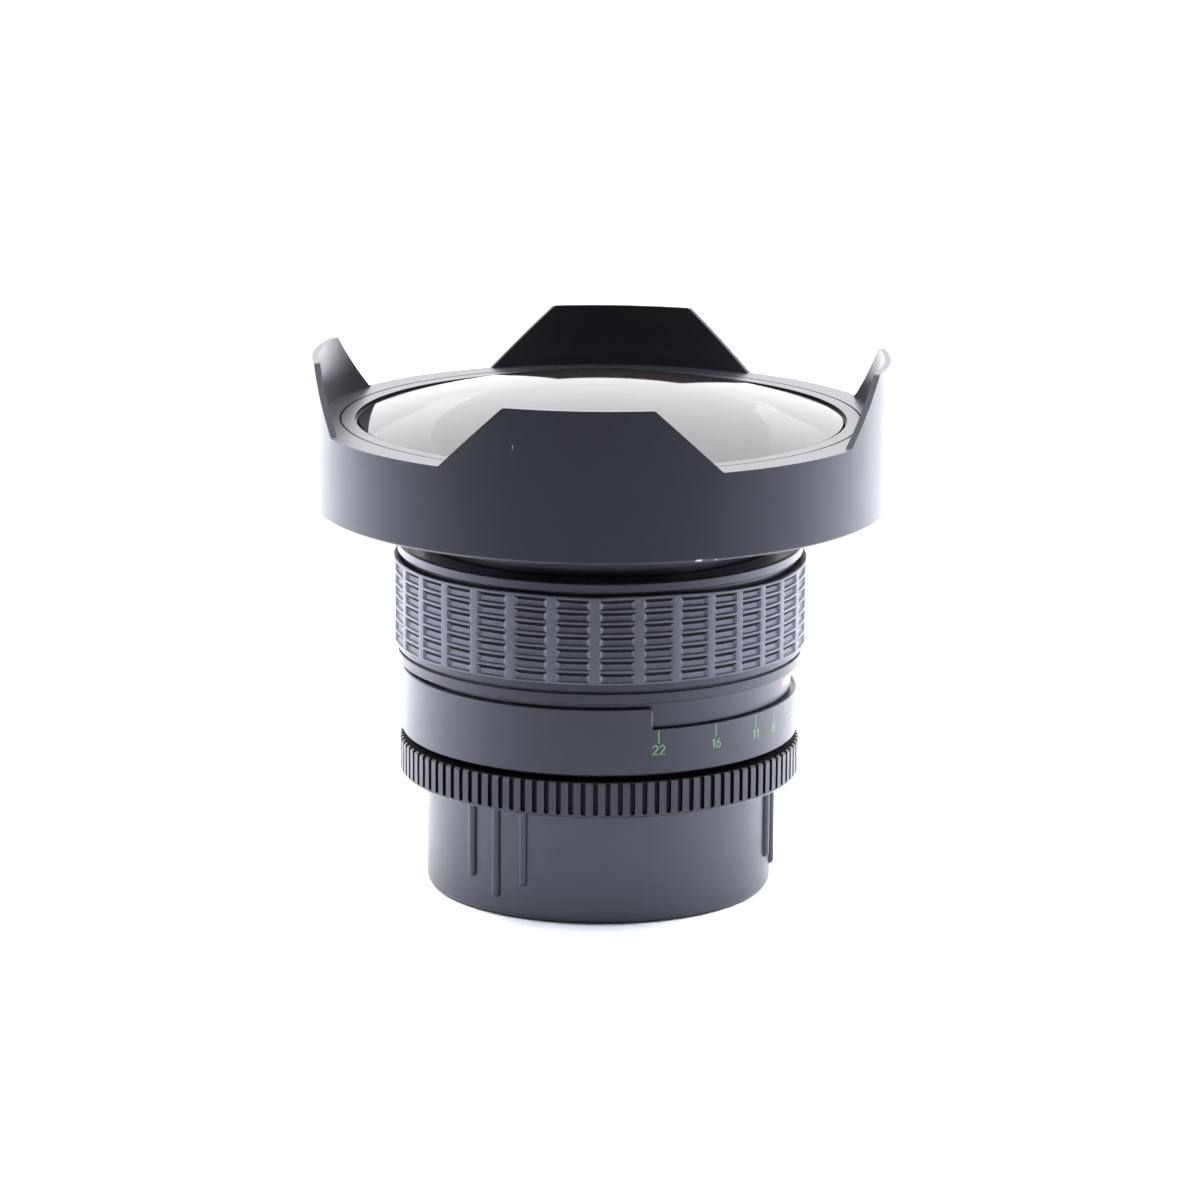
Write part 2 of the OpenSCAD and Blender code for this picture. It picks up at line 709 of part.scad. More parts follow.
module hood() {
    color([0.10, 0.10, 0.11]) difference() {
        rotate_extrude() polygon([
            [spigot_top_r + fit, hood_z], [hood_r - hood_chamfer, hood_z], [hood_r, hood_z + hood_chamfer],
            [hood_r, petal_z], [hood_r - petal_wall, petal_z], [hood_r - petal_wall, shelf_z],
            [ring_bore, shelf_z], [ring_bore, ring_z], [front_bore, ring_z], [front_bore, floor_z],
            [spigot_top_r + fit, floor_z]]);
        for (g = [0:90:270]) intersection() {
            rotate([0, 0, g + flank_mid]) mirror([0, 1, 0]) beyond_flank();
            rotate([0, 0, g + 90 - flank_mid]) beyond_flank();
        }
    }
}

module front_ring() {
    color([0.12, 0.12, 0.13]) rotate_extrude() polygon([
        [front_bore, ring_z + fit], [ring_r, ring_z + fit], [ring_r, shelf_z - 0.2], [ring_r - 0.2, shelf_z],
        [ring_inner, shelf_z], [ring_inner, shelf_z - ring_step], [ring_inner - 0.3, shelf_z - ring_step],
        [lip_in, lip_z + 0.4], [lip_in, lip_z], [front_bore, lip_z]]);
}

module front_gasket() {
    z = floor_z + fit / 2;
    color([0.08, 0.08, 0.08]) tube(front_back_rim + 0.6, front_r, z, z + gasket_t);
}

module front_element() {
    color([0.75, 0.82, 0.86, 0.5])
        difference() {
            intersection() {
                rotate_extrude() polygon([
                    [0, front_z], [front_r, front_z], [front_r, lip_z - 0.1], [dome_r, lip_z - 0.1],
                    [dome_r, front_apex + 1], [0, front_apex + 1]]);
                translate([0, 0, front_apex - front_roc]) sphere(r = front_roc);
            }
            translate([0, 0, front_back - front_back_roc]) sphere(r = front_back_roc);
        }
}

module helicoid_sleeve() {
    color([0.13, 0.13, 0.14]) difference() {
        rotate_extrude() polygon([
            [neck_in, neck_bottom], [neck_r, neck_bottom], [neck_r, focus_top + neck_step_rise],
            [neck_r + neck_step, focus_top + neck_step_rise], [neck_r + neck_step, hood_z - fit],
            [spigot_top_r, hood_z - fit],
            [spigot_top_r, floor_z - fit], [neck_in, floor_z - fit]]);
        // straight slots that run on the guide keys
        for (a = [90, 270]) rotate([0, 0, a])
            translate([neck_in - 1, -key_w / 2 - run, neck_bottom - 1])
                cube([key_out + free - neck_in + 1, key_w + run * 2, slot_top - neck_bottom + 1]);
    }
}

module lens_block() {
    color([0.15, 0.15, 0.16]) difference() {
        rotate_extrude() polygon([
            [chamber_r, block_z], [block_body_r, block_z], [block_body_r, shoulder_block_z],
            [block_r, shoulder_block_z], [block_r, block_top], [second_bore, block_top],
            [second_bore, cup_z], [third_bore, cup_z], [third_bore, third_seat_z],
            [third_seat_r, third_seat_z], [third_seat_r, chamber_z], [chamber_r, chamber_z]]);
        // window for the drive ring's post
        sector(chamber_r - 1, block_body_r + 1, block_z - 1, post_z + post_r + free,
            arm_az + aperture_turn / 2, aperture_turn / 2 + 5);
    }
}

module second_element() {
    color([0.75, 0.82, 0.86, 0.5])
        glass(second_r, second_z, second_apex + 1, second_apex, second_roc, second_back, second_back_roc);
}

module second_retainer() {
    color([0.12, 0.12, 0.13]) tube(second_retainer_r, second_bore - fit, second_ring_z, block_top);
}

module third_element() {
    color([0.75, 0.82, 0.86, 0.5])
        glass(third_r, third_seat_z + 1, third_top, third_front, -third_roc, pair_z, pair_roc);
}

module fourth_element() {
    color([0.78, 0.84, 0.86, 0.5])
        glass(third_r, fourth_back - 1, pair_z + 1, pair_z - cement, pair_roc, fourth_back, -fourth_roc);
}

module third_retainer() {
    color([0.12, 0.12, 0.13]) tube(third_r - 2.5, third_bore - fit, third_top + fit, third_top + 1.6);
}

module iris_base() {
    color([0.2, 0.2, 0.21]) difference() {
        tube(iris_open_r + 1.6, chamber_r - fit, iris_base_z, iris_base_z + iris_base_t);
        for (i = [0:blade_n - 1]) rotate([0, 0, i * 360 / blade_n]) translate([pivot_r, 0, iris_base_z - 1])
            cylinder(r = pin_r + run / 2, h = iris_base_t + 2, $fn = 24);
    }
}

module rear_cell() {
    color([0.13, 0.13, 0.14]) rotate_extrude() polygon([
        [ninth_bore, cell_z], [rear_r, cell_z], [rear_r, cell_top - cell_flange_t],
        [block_body_r, cell_top - cell_flange_t], [block_body_r, cell_top], [fifth_lip, cell_top],
        [fifth_lip, cell_seat_z], [fifth_bore, cell_seat_z], [fifth_bore, step_b_z], [seventh_bore, step_b_z],
        [seventh_bore, step_c_z], [ninth_bore, step_c_z]]);
}

module fifth_element() {
    color([0.75, 0.82, 0.86, 0.5])
        glass(fifth_r, sixth_back + 2, cell_seat_z - fit, fifth_front, -40, fifth_pair, 16);
}

module sixth_element() {
    color([0.78, 0.84, 0.86, 0.5])
        glass(fifth_r, sixth_back - 1, fifth_pair + 1, fifth_pair - cement, 16, sixth_back, -22);
}

module front_spacer() {
    color([0.13, 0.13, 0.14]) tube(spacer_a_in, fifth_r, spacer_a_z, spacer_a_top);
}

module seventh_element() {
    color([0.75, 0.82, 0.86, 0.5])
        glass(seventh_r, seventh_pair - 1, seventh_front + 1, seventh_front, 30, seventh_pair + cement, -20);
}

module eighth_element() {
    color([0.78, 0.84, 0.86, 0.5])
        glass(seventh_r, eighth_z, seventh_front - 1, seventh_pair, -20, eighth_back, 35);
}

module rear_spacer() {
    color([0.13, 0.13, 0.14]) tube(spacer_b_in, seventh_r, spacer_b_z, spacer_b_top);
}

module ninth_element() {
    color([0.75, 0.82, 0.86, 0.5])
        glass(ninth_r, ninth_pair - 1, ninth_front + 1, ninth_front, 45, ninth_pair + cement, -30);
}

module tenth_element() {
    color([0.78, 0.84, 0.86, 0.5])
        glass(ninth_r, tenth_back - 1, ninth_front - 1, ninth_pair, -30, tenth_back, -60);
}

module rear_retainer() {
    color([0.12, 0.12, 0.13]) tube(rear_retainer_in, ninth_bore - fit, cell_z, rear_retainer_top);
}

module rear_filter_ring() {
    color([0.12, 0.12, 0.13]) rotate_extrude() polygon([
        [filter_r - 1, filter_z], [rear_r, filter_z], [rear_r, filter_z + filter_h],
        [filter_bore, filter_z + filter_h], [filter_bore, filter_z + 1], [filter_r - 1, filter_z + 1]]);
}

module rear_filter() {
    color([0.75, 0.82, 0.86, 0.5]) translate([0, 0, filter_z + 1 + fit]) cylinder(r = filter_r, h = filter_t);
}

// where a blade's drive pin is after the blade has turned by a, with its pivot on +X
function pin_at(a) = [pivot_r, 0] + turned([pin_arm, 0], pin_from + a);
// the same point seen from the drive ring
function slot_at(s) = turned(pin_at(blade_turn * s), -aperture_turn * s);
function slot_normal(s) = let (d = slot_at(s + 0.01) - slot_at(s - 0.01)) [-d[1], d[0]] / norm(d);

module drive_slot() {
    n = 20;
    polygon(concat(
        [for (i = [0:n]) slot_at(i / n) + slot_r * slot_normal(i / n)],
        [for (i = [n:-1:0]) slot_at(i / n) - slot_r * slot_normal(i / n)]));
    for (s = [0, 1]) translate(slot_at(s)) circle(r = slot_r * 1.002, $fn = 24);
}

module iris_drive_ring() {
    color([0.7, 0.6, 0.35]) {
        translate([0, 0, drive_z]) linear_extrude(drive_t) difference() {
            circle(r = drive_out);
            circle(r = drive_in);
            for (i = [0:blade_n - 1]) rotate(i * 360 / blade_n) drive_slot();
        }
        rotate([0, 0, arm_az]) translate([drive_out - 2, 0, post_z]) rotate([0, 90, 0])
            cylinder(r = post_r, h = post_out - drive_out + 2, $fn = 24);
    }
}

module iris_blade(i) {
    mid = (iris_open_r + blade_outer) / 2;
    band = (blade_outer - iris_open_r) / 2;
    tip = 136;
    z = blade_top - blade_t - blade_pitch * i;
    p = pin_at(0);
    color([0.25, 0.25, 0.26]) rotate([0, 0, i * 360 / blade_n]) {
        translate([0, 0, z]) linear_extrude(blade_t) {
            intersection() {
                difference() {
                    circle(r = blade_outer);
                    circle(r = iris_open_r);
                }
                polygon(concat([[0, 0]], arc(0, 0, blade_outer * 2, 0, tip, 8)));
            }
            translate([mid, 0]) circle(r = band * 0.85);
            rotate(tip) translate([mid, 0]) circle(r = band * 0.85);
            // ear with the pivot and the drive pin
            translate([pivot_r, 0]) circle(r = pin_r * 2);
            translate(p) circle(r = pin_r * 2);
            polygon([[mid, -band * 0.6], [pivot_r, -pin_r * 1.7], [pivot_r + pin_r * 1.7, 0],
                p + [pin_r * 1.5, 0], p + [0, pin_r * 1.6], turned([blade_outer - 0.3, 0], 40), [mid, 2]]);
        }
        translate([pivot_r, 0, z + blade_t / 2])
            cylinder(r = pin_r, h = iris_base_z + iris_base_t * 0.7 - z - blade_t / 2, $fn = 24);
        translate([p[0], p[1], drive_z + 0.2])
            cylinder(r = pin_r, h = z + blade_t / 2 - drive_z - 0.2, $fn = 24);
    }
}

module iris_blade_1() { iris_blade(0); }
module iris_blade_2() { iris_blade(1); }
module iris_blade_3() { iris_blade(2); }
module iris_blade_4() { iris_blade(3); }
module iris_blade_5() { iris_blade(4); }
module iris_blade_6() { iris_blade(5); }

module aperture_ring() {
    top = aring_z + aring_h;
    web = base_z + run * 2;
    color([0.11, 0.11, 0.12]) difference() {
        rotate_extrude() polygon([
            [journal_r + run, web], [flange_r + free, web], [flange_r + free, aring_z],
            [aring_r - knurl_chamfer, aring_z], [aring_r, aring_z + knurl_chamfer],
            [aring_r, top - knurl_chamfer], [aring_r - knurl_chamfer, top], [journal_r + run, top]]);
        for (i = [0:knurl_n - 1]) rotate([0, 0, i * 360 / knurl_n])
            upright(aring_r - knurl_d, aring_r + 1, knurl_w, aring_z + knurl_chamfer + knurl_margin, top + 1);
        // pocket for the arm's foot
        rotate([0, 0, arm_az]) translate([journal_r - 2, -arm_w / 2 - fit, arm_z - fit])
            cube([arm_out - journal_r + 2 + fit, arm_w + fit * 2, foot_pocket_t]);
    }
}

module aperture_arm() {
    slot = post_r + run;
    color([0.7, 0.7, 0.72]) rotate([0, 0, arm_az]) intersection() {
        difference() {
            union() {
                translate([arm_in, -arm_w / 2, arm_z]) cube([arm_out - arm_in, arm_w, arm_t]);
                translate([arm_in, -arm_w / 2, arm_z]) cube([arm_bar_out - arm_in, arm_w, bar_top - arm_z]);
            }
            translate([arm_in - 1, -slot, post_z - 2]) cube([arm_bar_out - arm_in + 2, slot * 2, bar_top]);
        }
        cylinder(r = arm_out, h = bar_top + 1);
    }
}

module stop_down_pin() {
    color([0.75, 0.75, 0.77]) rotate([0, 0, plunger_az]) translate([plunger_circle, 0, 0])
        rotate_extrude($fn = 48) polygon([
            [0, web_z - plunger_reach], [plunger_r - 0.3, web_z - plunger_reach],
            [plunger_r, web_z - plunger_reach + 0.3], [plunger_r, collar_pin_z], [collar_pin_r, collar_pin_z],
            [collar_pin_r, spring_z], [plunger_r, spring_z], [plunger_r, plunger_top], [0, plunger_top]]);
}

module stop_down_spring() {
    sides = 6;
    steps = 8 * spring_turns;
    low = spring_z + wire_r + 0.05;
    high = spring_top - wire_r - 0.05;
    points = [for (i = [0:steps], k = [0:sides - 1])
        let (a = 360 * spring_turns * i / steps, t = 360 * k / sides, r = spring_mean + wire_r * cos(t))
        [r * cos(a), r * sin(a), low + (high - low) * i / steps + wire_r * sin(t)]];
    faces = concat(
        [[for (k = [0:sides - 1]) k]],
        [[for (k = [sides - 1:-1:0]) steps * sides + k]],
        [for (i = [0:steps - 1], k = [0:sides - 1])
            [i * sides + k, (i + 1) * sides + k, (i + 1) * sides + (k + 1) % sides]],
        [for (i = [0:steps - 1], k = [0:sides - 1])
            [i * sides + k, (i + 1) * sides + (k + 1) % sides, i * sides + (k + 1) % sides]]);
    color([0.6, 0.6, 0.62]) rotate([0, 0, plunger_az]) translate([plunger_circle, 0, 0])
        polyhedron(points, faces);
}

rear_cap();
main_barrel();
dof_ring();
mount_ring();
mount_screws();
guide_keys();
nut_retainer();
focus_ring();
grip_rubber();
distance_scale();
helicoid_nut();
hood();
front_ring();
front_gasket();
front_element();
helicoid_sleeve();
lens_block();
second_element();
second_retainer();
third_element();
fourth_element();
third_retainer();
iris_base();
rear_cell();
fifth_element();
sixth_element();
front_spacer();
seventh_element();
eighth_element();
rear_spacer();
ninth_element();
tenth_element();
rear_retainer();
rear_filter();
rear_filter_ring();
iris_drive_ring();
iris_blade_1();
iris_blade_2();
iris_blade_3();
iris_blade_4();
iris_blade_5();
iris_blade_6();
aperture_ring();
aperture_arm();
stop_down_pin();
stop_down_spring();
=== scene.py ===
"""Fisheye lens standing on its rear cap: finishes, moulded grip, printed scales and a white studio."""
import json
import math
import random

import bpy
from bpy.props import FloatProperty, FloatVectorProperty, IntProperty, PointerProperty
from mathutils import Matrix, Vector


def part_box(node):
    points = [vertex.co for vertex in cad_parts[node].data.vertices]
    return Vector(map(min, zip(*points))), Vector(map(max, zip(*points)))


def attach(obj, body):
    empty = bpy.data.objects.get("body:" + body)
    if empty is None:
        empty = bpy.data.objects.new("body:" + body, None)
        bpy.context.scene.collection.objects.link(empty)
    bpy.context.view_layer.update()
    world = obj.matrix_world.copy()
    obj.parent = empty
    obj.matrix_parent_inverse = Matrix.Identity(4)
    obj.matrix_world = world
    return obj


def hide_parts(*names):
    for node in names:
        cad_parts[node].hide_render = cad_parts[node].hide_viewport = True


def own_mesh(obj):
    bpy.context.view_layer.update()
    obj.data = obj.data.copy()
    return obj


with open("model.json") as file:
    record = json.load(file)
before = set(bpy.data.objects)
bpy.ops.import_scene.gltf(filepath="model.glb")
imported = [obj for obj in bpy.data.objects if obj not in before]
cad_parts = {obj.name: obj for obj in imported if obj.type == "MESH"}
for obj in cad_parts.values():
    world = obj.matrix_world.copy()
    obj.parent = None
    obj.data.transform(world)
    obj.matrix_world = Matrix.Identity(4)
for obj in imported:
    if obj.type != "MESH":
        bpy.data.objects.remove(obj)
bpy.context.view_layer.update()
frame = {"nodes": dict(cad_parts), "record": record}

bl_info = {
    "name": "Fisheye lens",
    "version": (1, 0, 0),
    "blender": (4, 5, 0),
    "location": "View3D > Sidebar > Lens",
    "description": "Dresses the packed model of a fisheye lens and sets it in a white studio",
    "category": "Object",
}

NODES = frame["nodes"]
MM = 0.001


def level(node, end):
    """Height of a node's underside (0) or top (1), in millimetres."""
    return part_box(node)[end].z / MM


def radius(node):
    """Outside radius of a round node, in millimetres."""
    return max(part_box(node)[1].x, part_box(node)[1].y) / MM


# Shader sums


class Wire:
    """A socket that takes part in Python sums, each of which adds its Math node."""

    def __init__(self, nodes, socket):
        self.nodes, self.socket = nodes, socket

    def sum(self, operation, *terms):
        return self.nodes.node("ShaderNodeMath", {"operation": operation}, dict(enumerate(terms)))

    def __add__(self, other):
        return self.sum("ADD", self, other)

    def __radd__(self, other):
        return self.sum("ADD", other, self)

    def __sub__(self, other):
        return self.sum("SUBTRACT", self, other)

    def __rsub__(self, other):
        return self.sum("SUBTRACT", other, self)

    def __mul__(self, other):
        return self.sum("MULTIPLY", self, other)

    def __rmul__(self, other):
        return self.sum("MULTIPLY", other, self)

    def __truediv__(self, other):
        return self.sum("DIVIDE", self, other)

    def __pow__(self, other):
        return self.sum("POWER", self, other)

    def __abs__(self):
        return self.sum("ABSOLUTE", self)

    def __gt__(self, other):
        return self.sum("GREATER_THAN", self, other)

    def over(self, other):
        """The larger of the two."""
        return self.sum("MAXIMUM", self, other)


class Nodes:
    """A node tree, with one method that adds any node and short words for the common ones."""

    def __init__(self, tree):
        self.tree = tree

    def node(self, kind, settings=None, values=None, out=0):
        made = self.tree.nodes.new(kind)
        for key, value in (settings or {}).items():
            setattr(made, key, value)
        for key, value in (values or {}).items():
            self.feed(made, key, value)
        return Wire(self, made.outputs[out])

    def feed(self, node, key, value):
        if isinstance(value, Wire):
            self.tree.links.new(value.socket, node.inputs[key])
        else:
            node.inputs[key].default_value = value

    def parts(self, vector):
        """The three parts of a vector."""
        apart = self.node("ShaderNodeSeparateXYZ", values={0: vector}).socket.node
        return tuple(Wire(self, socket) for socket in apart.outputs)

    def place(self):
        """Object place in millimetres."""
        at = self.node("ShaderNodeTexCoord", out="Object")
        return tuple(part * (1 / MM) for part in self.parts(at))

    def around(self, x, y):
        """Distance from the lens's axis and angle round it."""
        return (x * x + y * y) ** 0.5, x.sum("ARCTAN2", y, x)

    def vector(self, x, y, z):
        return self.node("ShaderNodeCombineXYZ", values={0: x, 1: y, 2: z})

    def noise(self, vector, scale=1.0, detail=2.0, rough=0.5):
        return self.node("ShaderNodeTexNoise", values={
            "Vector": vector, "Scale": scale, "Detail": detail, "Roughness": rough})

    def ramp(self, value, low, high):
        """0 below low and 1 above high, smooth between; low may be the larger."""
        return self.node("ShaderNodeMapRange", {"interpolation_type": "SMOOTHSTEP"}, {
            "Value": value, "From Min": low, "From Max": high})

    def near(self, value, middle, width):
        """1 at the middle, 0 a width away from it."""
        return self.ramp(abs(value - middle), width, width * 0.4)

    def mix(self, share, a, b):
        """A colour between a and b."""
        return self.node("ShaderNodeMix", {"data_type": "RGBA"}, {0: share, 6: a, 7: b}, out=2)


class Finish(Nodes):
    """A material on one Principled shader, whose constants are set on its own sockets."""

    def __init__(self, name, **constants):
        self.material = bpy.data.materials.new(name)
        self.material.use_nodes = True
        super().__init__(self.material.node_tree)
        self.shader = self.tree.nodes["Principled BSDF"]
        for key, value in constants.items():
            self.shader.inputs[key.replace("_", " ")].default_value = value

    def set(self, **varying):
        for key, value in varying.items():
            self.feed(self.shader, key.replace("_", " "), value)
        return self

    def blend(self, share, colour, rough, specular=0.5):
        """Lays a plain second finish over the first where share is 1."""
        other = self.node("ShaderNodeBsdfPrincipled", values={
            "Base Color": (*colour, 1.0), "Roughness": rough, "Specular IOR Level": specular})
        end = self.tree.nodes["Material Output"]
        under = Wire(self, end.inputs["Surface"].links[0].from_socket)
        self.feed(end, "Surface", self.node("ShaderNodeMixShader", values={0: share, 1: under, 2: other}))
        return self

    def bump(self, height, depth, strength=1.0):
        """Relief of so many millimetres."""
        return self.set(Normal=self.node("ShaderNodeBump", values={
            "Strength": strength, "Distance": depth * MM, "Height": height}))


# tint of the reflections from dark paint, plastic and rubber
COOL = (0.82, 0.86, 1.0, 1.0)
# light of the side cards and of the lamps beside the lens
COOL_LIGHT = (0.93, 0.96, 1.06)
WHITE_LIGHT = (1.0, 1.0, 1.0)


def shade(colour, factor):
    """A colour made so many times as bright, with its alpha."""
    return (*(min(1.0, c * factor) for c in colour), 1.0)


# Sizes and colours


def tone(name, description, default):
    """A colour that a user may change."""
    return FloatVectorProperty(name=name, description=description, default=default, subtype="COLOR", min=0, max=1)


def part_of_one(name, description, default):
    """A share from 0 to 1."""
    return FloatProperty(name=name, description=description, default=default, subtype="FACTOR", min=0, max=1)


def in_mm(name, description, millimetres):
    """A length, given in millimetres."""
    return FloatProperty(name=name, description=description, default=millimetres * MM, unit="LENGTH", precision=5)


def in_degrees(name, description, degrees):
    """An angle, given in degrees."""
    return FloatProperty(name=name, description=description, default=math.radians(degrees), subtype="ANGLE")


def strength(name, description, default):
    """A strength of light."""
    return FloatProperty(name=name, description=description, default=default, min=0)


class LensColours(bpy.types.PropertyGroup):
    """Colours and finish of the surfaces."""

    paint: tone("Paint", "Satin paint of the hood and the rings", (0.0058, 0.0064, 0.0080))
    gloss: part_of_one("Paint roughness", "Roughness of the satin paint", 0.36)
    wear: part_of_one("Wear", "How far the paint is chipped off the edges", 0.2)
    cap: tone("Cap", "Moulded plastic of the rear cap", (0.0095, 0.0103, 0.0123))
    rubber: tone("Rubber", "Rubber of the focus grip", (0.025, 0.027, 0.031))
    depth_marks: tone("Depth marks", "Paint of the depth scale", (0.10, 0.24, 0.085))
    red_marks: tone("Red mark", "Paint of the infrared mark", (0.42, 0.10, 0.09))
    white_marks: tone("White marks", "Paint of the distance scale and the index", (0.78, 0.78, 0.76))


class LensGrip(bpy.types.PropertyGroup):
    """Sizes of the moulded grip."""

    columns: IntProperty(name="Columns", description="Pockets round the grip", default=32, min=8)
    rows: IntProperty(name="Rows", description="Pockets up the grip", default=7, min=1)
    column_land: in_mm("Column land", "Width of the land between two columns", 1.8)
    row_land: in_mm("Row land", "Height of the land between two rows", 0.5)
    top_land: in_mm("Top edge", "Plain edge above the top row", 0.7)
    bottom_land: in_mm("Bottom edge", "Plain edge below the bottom row", 0.43)
    depth: in_mm("Depth", "Depth of a pocket", 0.62)
    upper: in_mm("Upper slope", "Height of a pocket's upper wall", 0.8)
    lower: in_mm("Lower slope", "Height of a pocket's lower wall", 0.25)
    side: in_mm("Side slope", "Width of a pocket's side walls", 0.7)
    first: in_degrees("First land", "Angle of the first land's middle", -87)
    waver: in_mm("Waver", "How far the rows waver", 0.04)


class LensScales(bpy.types.PropertyGroup):
    """Sizes of the printed scales."""

    figure: in_mm("Figure height", "Height of a figure", 1.8)
    line: in_mm("Line width", "Width of a printed line", 0.23)
    stop_angle: in_degrees(
        "Angle of a stop", "Angle from the index to a stop's depth line, for one unit of the stop", 3.15)


class LensStudio(bpy.types.PropertyGroup):
    """Camera and light."""

    distance: in_mm("Distance", "Level distance from the lens's axis to the camera", 1024.685)
    height: in_mm("Height", "Height of the camera above the floor", 301.664)
    azimuth: in_degrees("Azimuth", "Angle of the camera round the lens", 4.373)
    pitch: in_degrees("Pitch", "How far the camera looks down", 13.377)
    roll: in_degrees("Roll", "Turn of the camera about its view", 0.353515)
    focal: FloatProperty(name="Focal length", description="In millimetres on a 36 mm frame", default=155.9965)
    room: strength("Room", "Even light of the room", 0.12)
    front: strength("Front", "Light from above the camera", 0.36)
    glow: strength("Glow", "Light on the wall behind the lens", 1.0)
    floor: strength("Floor lamps", "Light on the floor round the lens", 1.0)
    cards: strength("Cards", "Light of the white cards", 1.0)


GROUPS = {"lens_colours": LensColours, "lens_grip": LensGrip, "lens_scales": LensScales, "lens_studio": LensStudio}


# Finishes


BARE_METAL = (0.42, 0.42, 0.43, 1.0)
# colour of upward faces: a glossier faced finish, painted lighter to stand in for the light falling on them
FACED_GLOSS_AND_PAINTED_LIGHT = (0.03, 0.032, 0.037)
# painted shade deep in the knurl's grooves
PAINTED_GROOVE_SHADE = (0.004, 0.004, 0.004)


def chipped_edges(f, name, z, r):
    """Where a node's paint may be chipped: 1 along its outer edges."""
    low, high = level(name, 0), level(name, 1)
    return f.near(r, radius(name), 0.45) * f.near(z, low + 0.2, 0.4).over(f.near(z, high, 0.3))


def satin_paint(colours, name, edges=None, groove=0.0, specular=0.36, nicks=()):
    """Satin black over turned metal, brighter on faced shelves, with lathe lines, a few chips and dark grooves.

    Chips lie on the edges of the node that edges names. A nick is an angle in degrees, a height, a width and a
    tallness in millimetres, and a share. A groove is the outside radius of a ring whose grooves are painted dark as
    shade.
    """
    f = Finish(name, Specular_IOR_Level=specular, Specular_Tint=COOL)
    x, y, z = f.place()
    r, a = f.around(x, y)
    lines = f.noise(f.vector(r * 7.0, z * 7.0, a * 2.0), 1.0, 3.0, 0.6)
    cloud = f.noise(f.vector(x, y, z), 0.07, 3.0, 0.55)
    grain = f.noise(f.vector(x, y, z), 9.0, 2.0, 0.6)
    colour = f.mix(cloud, shade(colours.paint, 0.85), shade(colours.paint, 1.15))
    upward = f.parts(f.node("ShaderNodeNewGeometry", out="Normal"))[2]
    faced = f.ramp(upward, 0.8, 0.95)
    gloss = colours.gloss - faced * 0.03 + (lines - 0.5) * 0.05 + (cloud - 0.5) * 0.06
    if edges:
        out = radius(edges)
        patch = f.noise(f.vector(x, y, z), 1.1, 3.0, 0.6)
        start = 0.80 - 0.3 * colours.wear
        chip = chipped_edges(f, edges, z, r) * f.ramp(patch, start, start + 0.03)
        for angle, height, wide, tall, share in nicks:
            spot = f.near(a, math.radians(angle), wide / out) * f.near(z, height, tall)
            chip = chip.over(spot * f.ramp(r, out - 0.5, out - 0.3) * share)
        colour = f.mix(chip, colour, BARE_METAL)
        f.set(Metallic=chip * 0.6)
    f.set(Base_Color=colour, Roughness=gloss)
    f.bump(lines * 0.7 + grain * 0.3, 0.002)
    # painted light: faces that look up get a lighter, glossier paint over the satin black
    f.blend(faced * 0.7, FACED_GLOSS_AND_PAINTED_LIGHT, 0.32, 0.9)
    # painted shade: the knurl's grooves are darkened towards their floors
    if groove:
        f.blend(f.ramp(r, groove - 0.35, groove - 0.65), PAINTED_GROOVE_SHADE, 0.6, 0.12)
    return f.material


def flat_black(name, pitch=0.6):
    """Dull black inside the lens, with fine rings against stray light."""
    f = Finish(name, Specular_IOR_Level=0.3)
    x, y, z = f.place()
    run = z + f.around(x, y)[0]
    ring = run.sum("PINGPONG", run, pitch / 2) / (pitch / 2)
    cloud = f.noise(f.vector(x, y, z), 0.4, 3.0)
    f.set(Base_Color=f.mix(cloud, (0.006, 0.006, 0.0065, 1), (0.011, 0.011, 0.012, 1)),
          Roughness=0.62 + cloud * 0.2)
    return f.bump(ring, 0.05, 0.6).material


def cap_plastic(colours):
    """Moulded plastic with a fine skin, faint flow marks and scuffs."""
    f = Finish("cap_plastic", Specular_IOR_Level=0.62, Specular_Tint=COOL)
    x, y, z = f.place()
    r, a = f.around(x, y)
    skin = f.noise(f.vector(x, y, z), 3.2, 3.0, 0.6)
    cloud = f.noise(f.vector(x, y, z), 0.06, 3.0)
    scuff = f.ramp(f.noise(f.vector(a * 14.0, z * 0.9, r), 1.0, 4.0, 0.7), 0.62, 0.74)
    colour = f.mix(cloud, shade(colours.cap, 0.85), shade(colours.cap, 1.2))
    colour = f.mix(scuff * 0.35, colour, (0.035, 0.035, 0.037, 1.0))
    f.set(Base_Color=colour, Roughness=0.36 + (cloud - 0.5) * 0.12 + scuff * 0.08)
    return f.bump(skin, 0.012, 0.5).material


def grip_rubber(colours):
    """Rubber with a fine moulded grain, dust on its lands, and pocket floors painted paler as light."""
    f = Finish("grip_rubber", Specular_IOR_Level=0.8, Specular_Tint=COOL)
    x, y, z = f.place()
    r, out = f.around(x, y)[0], radius("grip_rubber")
    grain = f.noise(f.vector(x, y, z), 5.0, 3.0, 0.65)
    cloud = f.noise(f.vector(x, y, z), 0.12, 3.0)
    land = f.ramp(r, out - 0.25, out - 0.02)
    dust = land * f.ramp(cloud, 0.35, 0.75) * 0.12
    colour = f.mix(cloud, shade(colours.rubber, 0.65), shade(colours.rubber, 0.95))
    # painted light: the pockets are made paler than the lands
    colour = f.mix(land, shade(colours.rubber, 1.8), colour)
    f.set(Base_Color=f.mix(dust, colour, (0.06, 0.062, 0.066, 1.0)),
          Roughness=0.42 + (grain - 0.5) * 0.12 + dust * 0.3)
    return f.bump(grain, 0.02, 0.6).material


def painted_shade_rubber():
    """The same rubber made near black on the pockets' upper walls, as painted shade."""
    f = Finish("grip_shade", Specular_IOR_Level=0.08)
    grain = f.noise(f.vector(*f.place()), 5.0, 3.0, 0.65)
    f.set(Base_Color=f.mix(grain, (0.003, 0.003, 0.004, 1), (0.005, 0.005, 0.006, 1)),
          Roughness=0.6 + grain * 0.2)
    return f.bump(grain, 0.02, 0.6).material


